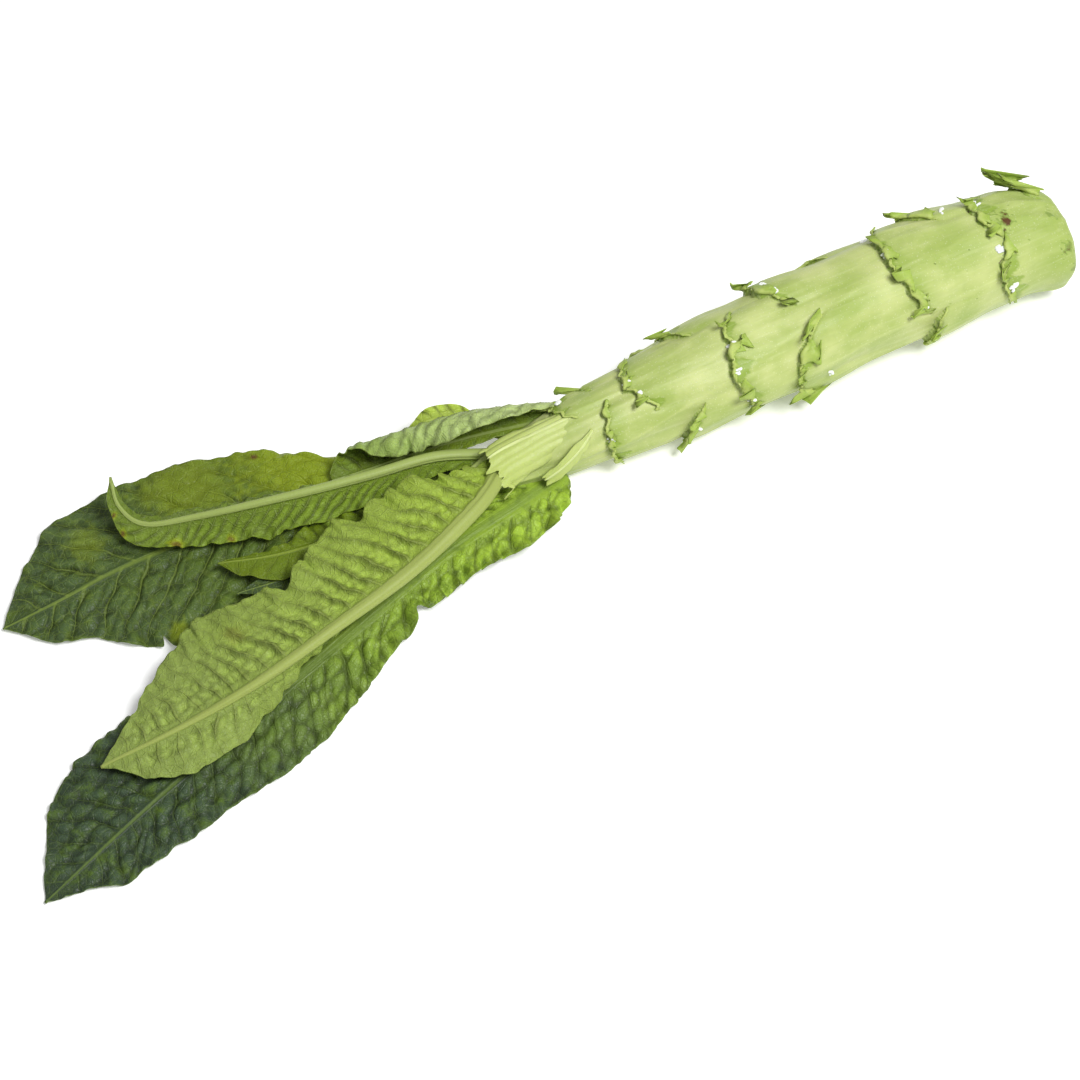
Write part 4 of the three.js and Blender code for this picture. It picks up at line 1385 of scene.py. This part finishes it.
LEAVES = (
    LeafPlan(
        node="lower_front_leaf",
        slot="leaf_dark",
        finish=LOWER_FRONT,
        spine=(
            (8, -13, 12),
            (-20, -21, 15),
            (-64, -30, 15),
            (-115, -45, 11),
            (-165, -60, 8),
            (-215, -76, 6),
            (-262, -92, 4),
            (-308, -109, 1.5),
        ),
        front=Half(
            width=(8, 18, 20, 17, 19, 27, 32, 29, 25, 20, 0),
            fold=(-8, -8, -6, 0),
            curl=(-20, -12, -8, 0),
            pucker=(0.8, 1.6, 1.8, 1.8, 1.6, 1.5, 1.4, 1.0),
            ruffle=(2.0, 4.6, 5.4, 4.4, 2.2, 1.4, 1.0, 0.8),
            notches=((0.37, 6, 0.012),),
        ),
        back=Half(
            width=(4, 11, 18, 24, 28, 33, 36, 41, 42, 35, 0),
            curl=(-10, -8, -6, 0),
            pucker=(0.8, 1.4, 1.8, 1.8, 1.6, 1.5, 1.3, 1.0),
            ruffle=(0.6, 0.8, 1.0, 1.2, 1.2, 1.0),
        ),
        rib=(5.0, 0.8, 2.4),
        spacing=12.0,
        lean=0.55,
        blister=(9.0, 1.5),
        wave=15.0,
        ragged=1.0,
        columns=280,
        rows=84,
        seed=11,
    ),
    LeafPlan(
        node="lower_back_leaf",
        slot="leaf_dark",
        finish=DARK,
        spine=(
            (-12, 9, 11),
            (-75, 28, 9),
            (-131, 36, 7),
            (-175, 38, 6),
            (-213, 38, 5.5),
            (-245, 35, 4.5),
            (-275, 34, 2),
        ),
        front=Half(
            width=(4, 13, 23, 33, 41, 46, 52, 44, 27, 18, 0),
            fold=(-3, -3, -2, 0),
            curl=(-4, -4, -4, 0),
            pucker=(1.0, 1.6, 1.9, 2.0, 1.8, 1.4, 1.0),
            ruffle=(0.8, 1.0, 1.4, 1.2, 0.9),
            notches=((0.64, 7, 0.008),),
        ),
        back=Half(
            width=(4, 8, 16, 34, 42, 46, 47, 44, 36, 22, 0),
            fold=(-3, -3, -2, 0),
            curl=(-6, -5, -4, 0),
            pucker=(1.0, 1.2, 1.3, 1.4, 1.3, 1.2, 0.9),
            ruffle=(0.5, 0.9, 0.9, 1.0, 0.8),
        ),
        rib=(4.2, 0.8, 2.2),
        spacing=17.0,
        lean=0.75,
        blister=(11.0, 1.2),
        wave=30.0,
        ragged=0.8,
        columns=280,
        rows=92,
        seed=23,
        spots=(
            (0.33, -0.9, 2.0, 0.9, 0.3),
            (0.60, 0.92, 6.0, 0.0, 0.6),
            # These three large yellow patches are partly the leaf's olive yellowing and partly painted light:
            # they lighten the back half against the shaded front half.
            (0.24, -0.75, 30.0, 0.0, 0.55),
            (0.46, -0.70, 22.0, 0.0, 0.35),
            (0.70, -0.50, 9.0, 0.0, 0.25),
        ),
    ),
    LeafPlan(
        node="folded_leaf",
        slot="leaf_underside",
        finish=FOLDED,
        spine=(
            (-22, 8, 20),
            (-49, 16, 25),
            (-81, 20, 26),
            (-112, 25, 26),
            (-142, 32, 24),
            (-168, 40, 20),
            (-192, 49, 17),
            (-200, 63, 19),
            (-198, 78, 24),
        ),
        front=Half(
            width=(2, 8, 13, 15, 17, 17, 15, 12, 8, 5, 0),
            fold=(-45, -50, -48, -40, -10, 0),
            edge=(0, 30, 40, 30, 10, 0),
            pucker=(0.8, 1.3, 1.4, 1.4, 1.2, 0.9, 0.5),
            ruffle=(0.6, 1.4, 1.8, 1.4, 1.0, 0.5),
        ),
        back=Half(
            width=(2, 6, 9, 11, 12, 11, 9, 7, 4, 3, 0),
            fold=(-45, -48, -46, -36, -10, 0),
            pucker=(0.6, 0.9, 0.9, 0.9, 0.7, 0.4),
            ruffle=(0.4, 0.8, 0.8, 0.5),
        ),
        up=Side.UNDERSIDE,
        rib=(2.7, 0.8, 2.2),
        spacing=6.5,
        lean=0.9,
        blister=(4.5, 0.35),
        wave=17.0,
        ragged=0.9,
        sway=0.6,
        columns=200,
        rows=60,
        seed=31,
        spots=(
            (0.86, 0.85, 2.0, 0.9, 0.7),
            (0.80, 0.9, 2.0, 0.9, 0.7),
            (0.68, 0.92, 2.4, 0.8, 0.9),
            (0.56, 0.92, 1.6, 0.8, 0.8),
        ),
    ),
    LeafPlan(
        node="inner_leaf",
        slot="leaf_young",
        finish=YOUNG,
        spine=((-39, 2, 16), (-85, 3, 13), (-115, 3, 13), (-142, 7, 13), (-168, 15, 13)),
        front=Half(
            width=(3, 6, 9, 10, 11, 13, 14, 14, 12, 8, 0),
            fold=(-3, -3, -3),
            pucker=(0.3, 0.3, 0.3),
            ruffle=(0.6, 0.8, 0.6),
            notches=((0.62, 4, 0.02),),
        ),
        back=Half(
            width=(3, 7, 9, 11, 12, 12, 9, 5, 3, 2, 0),
            fold=(0, 0, 4),
            pucker=(1.0, 1.2, 0.8),
            ruffle=(1.2, 1.5, 0.6),
        ),
        rib=(1.8, 0.5, 0.9),
        spacing=8.0,
        blister=(5.0, 0.4),
        wave=14.0,
        sway=0.5,
        columns=130,
        rows=44,
        seed=41,
    ),
    LeafPlan(
        node="small_inner_leaf",
        slot="leaf_dark",
        finish=DARK,
        spine=((-39, -4, 12), (-100, -6, 9.5), (-135, -6, 9.5), (-166, -3, 9.5)),
        front=Half(width=(2, 6, 7, 7, 0), pucker=(0.5, 0.5), ruffle=(0.4, 0.4)),
        back=Half(width=(2, 5, 7, 7, 0), pucker=(0.5, 0.5), ruffle=(0.4, 0.4)),
        rib=(1.2, 0.4, 0.5),
        spacing=8.0,
        blister=(5.0, 0.3),
        sway=0.3,
        columns=110,
        rows=28,
        seed=43,
    ),
    LeafPlan(
        node="upper_front_leaf",
        slot="leaf_underside",
        finish=PALE_BACK,
        spine=(
            (-22, -5, 24.5),
            (-44, -22, 30),
            (-86, -39, 29),
            (-131, -50, 27),
            (-175, -59, 24),
            (-216, -62, 18),
            (-260, -61, 11),
        ),
        front=Half(
            width=(4, 8, 9, 9, 9, 9, 12, 18, 22, 19, 0),
            fold=(-75, -104, -112, -104, -62, -16, 0),
            pucker=(0.4, 0.6, 0.8, 0.9, 1.0, 1.0, 0.6),
            ruffle=(0.4, 0.7, 0.8, 1.0, 1.0, 0.8),
        ),
        back=Half(
            width=(9, 22, 34, 44, 48, 41, 44, 51, 40, 21, 0),
            fold=(14, 10, 4, -2, -5, -3, 0),
            curl=(-16, -14, -12, -9, -5, -3, 0),
            pucker=(1.6, 2.7, 3.2, 3.0, 2.7, 2.0, 1.4, 0.8),
            ruffle=(1.2, 2.0, 1.6, 1.4, 1.4, 1.0, 0.8),
            notches=((0.08, 4, 0.010), (0.16, 5, 0.012), (0.33, 7, 0.022), (0.52, 6, 0.02)),
        ),
        up=Side.UNDERSIDE,
        rib=(5.2, 0.8, 3.2),
        spacing=9.6,
        lean=0.28,
        fade=0.8,
        blister=(5.5, 1.2),
        wave=17.0,
        ragged=1.0,
        columns=260,
        rows=84,
        seed=53,
        spots=((0.66, -0.62, 7.0, 0.25, 0.10),),
    ),
    LeafPlan(
        node="curled_back_leaf",
        slot="leaf_underside",
        finish=CURLED,
        spine=((16, 10, 24), (-20, 21, 19), (-50, 28, 15), (-76, 31, 13), (-98, 34, 12)),
        front=Half(width=(1, 4, 9, 8, 0), pucker=(0.5, 0.5), ruffle=(0.5, 0.5)),
        back=Half(
            width=(18, 32, 36, 30, 4),
            fold=(20, 10, 0, 0, 0),
            curl=(150, 200, 240, 200, 40),
            pucker=(0.8, 1.0, 1.0, 0.6),
            ruffle=(0.8, 1.6, 1.6, 0.8),
        ),
        rib=(2.0, 0.5, 1.0),
        spacing=8.0,
        lean=0.6,
        blister=(5.0, 0.4),
        wave=15.0,
        sway=0.6,
        columns=120,
        rows=84,
        seed=61,
    ),
    LeafPlan(
        node="crest_leaf",
        slot="leaf_young",
        finish=CREST,
        spine=((-2, 12, 13), (-16, 25, 16), (-30, 34, 23), (-42, 37, 25), (-53, 39, 22)),
        front=Half(width=(2, 4, 4, 3, 0), pucker=(0.4, 0.4), ruffle=(0.4, 0.4)),
        back=Half(width=(2, 5, 7, 6, 0), pucker=(0.5, 0.5), ruffle=(0.6, 0.8)),
        roll=(-10, -30, -35, -30),
        rib=(1.2, 0.4, 0.7),
        spacing=6.0,
        blister=(4.0, 0.3),
        wave=11.0,
        sway=0.4,
        columns=80,
        rows=32,
        seed=67,
    ),
    LeafPlan(
        node="torn_sheath",
        slot="leaf_base",
        finish=SHEATH,
        spine=((24, 2, 34.6), (-4, 1, 34.3), (-20, 0, 34.0), (-31, -2, 33.4)),
        front=Half(
            width=(12, 17, 21, 23), curl=(-60, -72, -75, -70), pucker=(0, 0), ruffle=(0.3, 0.6)
        ),
        back=Half(width=(7, 8, 8, 7), curl=(-40, -50, -50, -40), pucker=(0, 0), ruffle=(0.3, 0.4)),
        up=Side.UNDERSIDE,
        rib=(1.0, 0.8, 0.2),
        blister=(5.0, 0.0),
        ridges=(4.6, 0.6),
        spacing=400.0,
        tear=4.0,
        sway=0.3,
        columns=70,
        rows=76,
        seed=71,
    ),
    LeafPlan(
        node="front_leaf_tongue",
        slot="leaf_base",
        finish=SHEATH,
        spine=((26, -10, 34), (16, -15, 30), (6, -17.5, 25.5), (-5, -18.5, 21)),
        front=Half(width=(1.5, 4, 5, 4), pucker=(0, 0), ruffle=(0.3, 0.4)),
        back=Half(width=(1.5, 4, 4, 3), pucker=(0, 0), ruffle=(0.3, 0.5)),
        roll=(-62, -68, -72, -76),
        up=Side.UNDERSIDE,
        rib=(1.0, 0.8, 0.2),
        blister=(5.0, 0.0),
        ridges=(3.0, 0.12),
        spacing=400.0,
        tear=2.0,
        sway=0.3,
        columns=56,
        rows=28,
        seed=73,
    ),
)


# ------------------------------------------------------------------ studio


@dataclass
class Studio:
    """A pale floor, soft light from above, and the camera. Lengths in metres."""

    azimuth: float = -26.5
    elevation: float = 60.0
    distance: float = 1.275
    lens: float = 85.0
    aim: tuple[float, float, float] = (-0.0128, -0.0218, 0.0)
    floor_size: float = 14.0
    world: float = 0.34
    key_power: float = 23.0
    fill_power: float = 1.5

    def build(self) -> None:
        """Sets up the floor, the lights and the camera."""
        bpy.ops.object.select_all(action="DESELECT")
        bpy.ops.mesh.primitive_plane_add(size=self.floor_size, location=(0, 0, 0))
        floor = bpy.context.object
        floor.name = "studio_floor"
        material, n = new_material("studio_floor")
        shader = n.add("ShaderNodeBsdfPrincipled", {"Base Color": (0.95, 0.95, 0.95), "Roughness": 0.9})
        shader.inputs["Emission Color"].default_value = (1.0, 1.0, 1.0, 1.0)
        shader.inputs["Emission Strength"].default_value = 0.2
        shader.inputs["Specular IOR Level"].default_value = 0.1
        out = n.add("ShaderNodeOutputMaterial")
        n.tree.links.new(shader.outputs[0], out.inputs[0])
        floor.data.materials.append(material)
        world = bpy.data.worlds.new("studio")
        world.use_nodes = True
        back = world.node_tree.nodes["Background"]
        back.inputs[0].default_value = (1.0, 1.0, 1.0, 1.0)
        back.inputs[1].default_value = self.world
        bpy.context.scene.world = world
        self.light("key", (0.34, -0.56, 1.38), 0.55, self.key_power)
        self.light("fill", (0.6, 0.9, 1.2), 1.2, self.fill_power)
        self.camera()
        bpy.context.scene.view_settings.view_transform = "Standard"

    def light(self, name: str, place: tuple[float, float, float], size: float, power: float) -> None:
        """Adds a square soft light aimed at the plant."""
        lamp = bpy.data.lights.new(name, "AREA")
        lamp.shape = "SQUARE"
        lamp.size = size
        lamp.energy = power
        holder = bpy.data.objects.new(name, lamp)
        bpy.context.scene.collection.objects.link(holder)
        holder.location = place
        aim = Vector(self.aim) - Vector(place)
        holder.rotation_euler = aim.to_track_quat("-Z", "Y").to_euler()

    def camera(self) -> None:
        """Adds the camera, looking down on the plant from its front left."""
        a, e = math.radians(self.azimuth), math.radians(self.elevation)
        back = Vector((math.sin(a) * math.cos(e), -math.cos(a) * math.cos(e), math.sin(e)))
        lens = bpy.data.cameras.new("camera")
        lens.lens = self.lens
        lens.sensor_width = 36.0
        holder = bpy.data.objects.new("camera", lens)
        bpy.context.scene.collection.objects.link(holder)
        holder.location = Vector(self.aim) + back * self.distance
        holder.rotation_euler = (-back).to_track_quat("-Z", "Y").to_euler()
        bpy.context.scene.camera = holder


# ------------------------------------------------------------------ the whole plant


class Celtuce:
    """The plant: its stem, the torn leaf bases on it, the sap, and the tuft of leaves."""

    def __init__(self) -> None:
        self.plan = Plan()
        self.stem = Stem(self.plan)

    def build(self) -> None:
        """Models every piece."""
        self.stem.build()
        TornBases(self.stem, self.plan).build()
        MilkySap(self.stem, self.plan).build()
        group = leaf_pattern()
        for leaf in LEAVES:
            Leaf(leaf, self.plan, group).build()


def main() -> None:
    """Builds the plant in its studio."""
    logging.basicConfig(level=logging.INFO, format="%(name)s %(message)s")
    Celtuce().build()
    Studio().build()


if __name__ == "__main__":
    main()
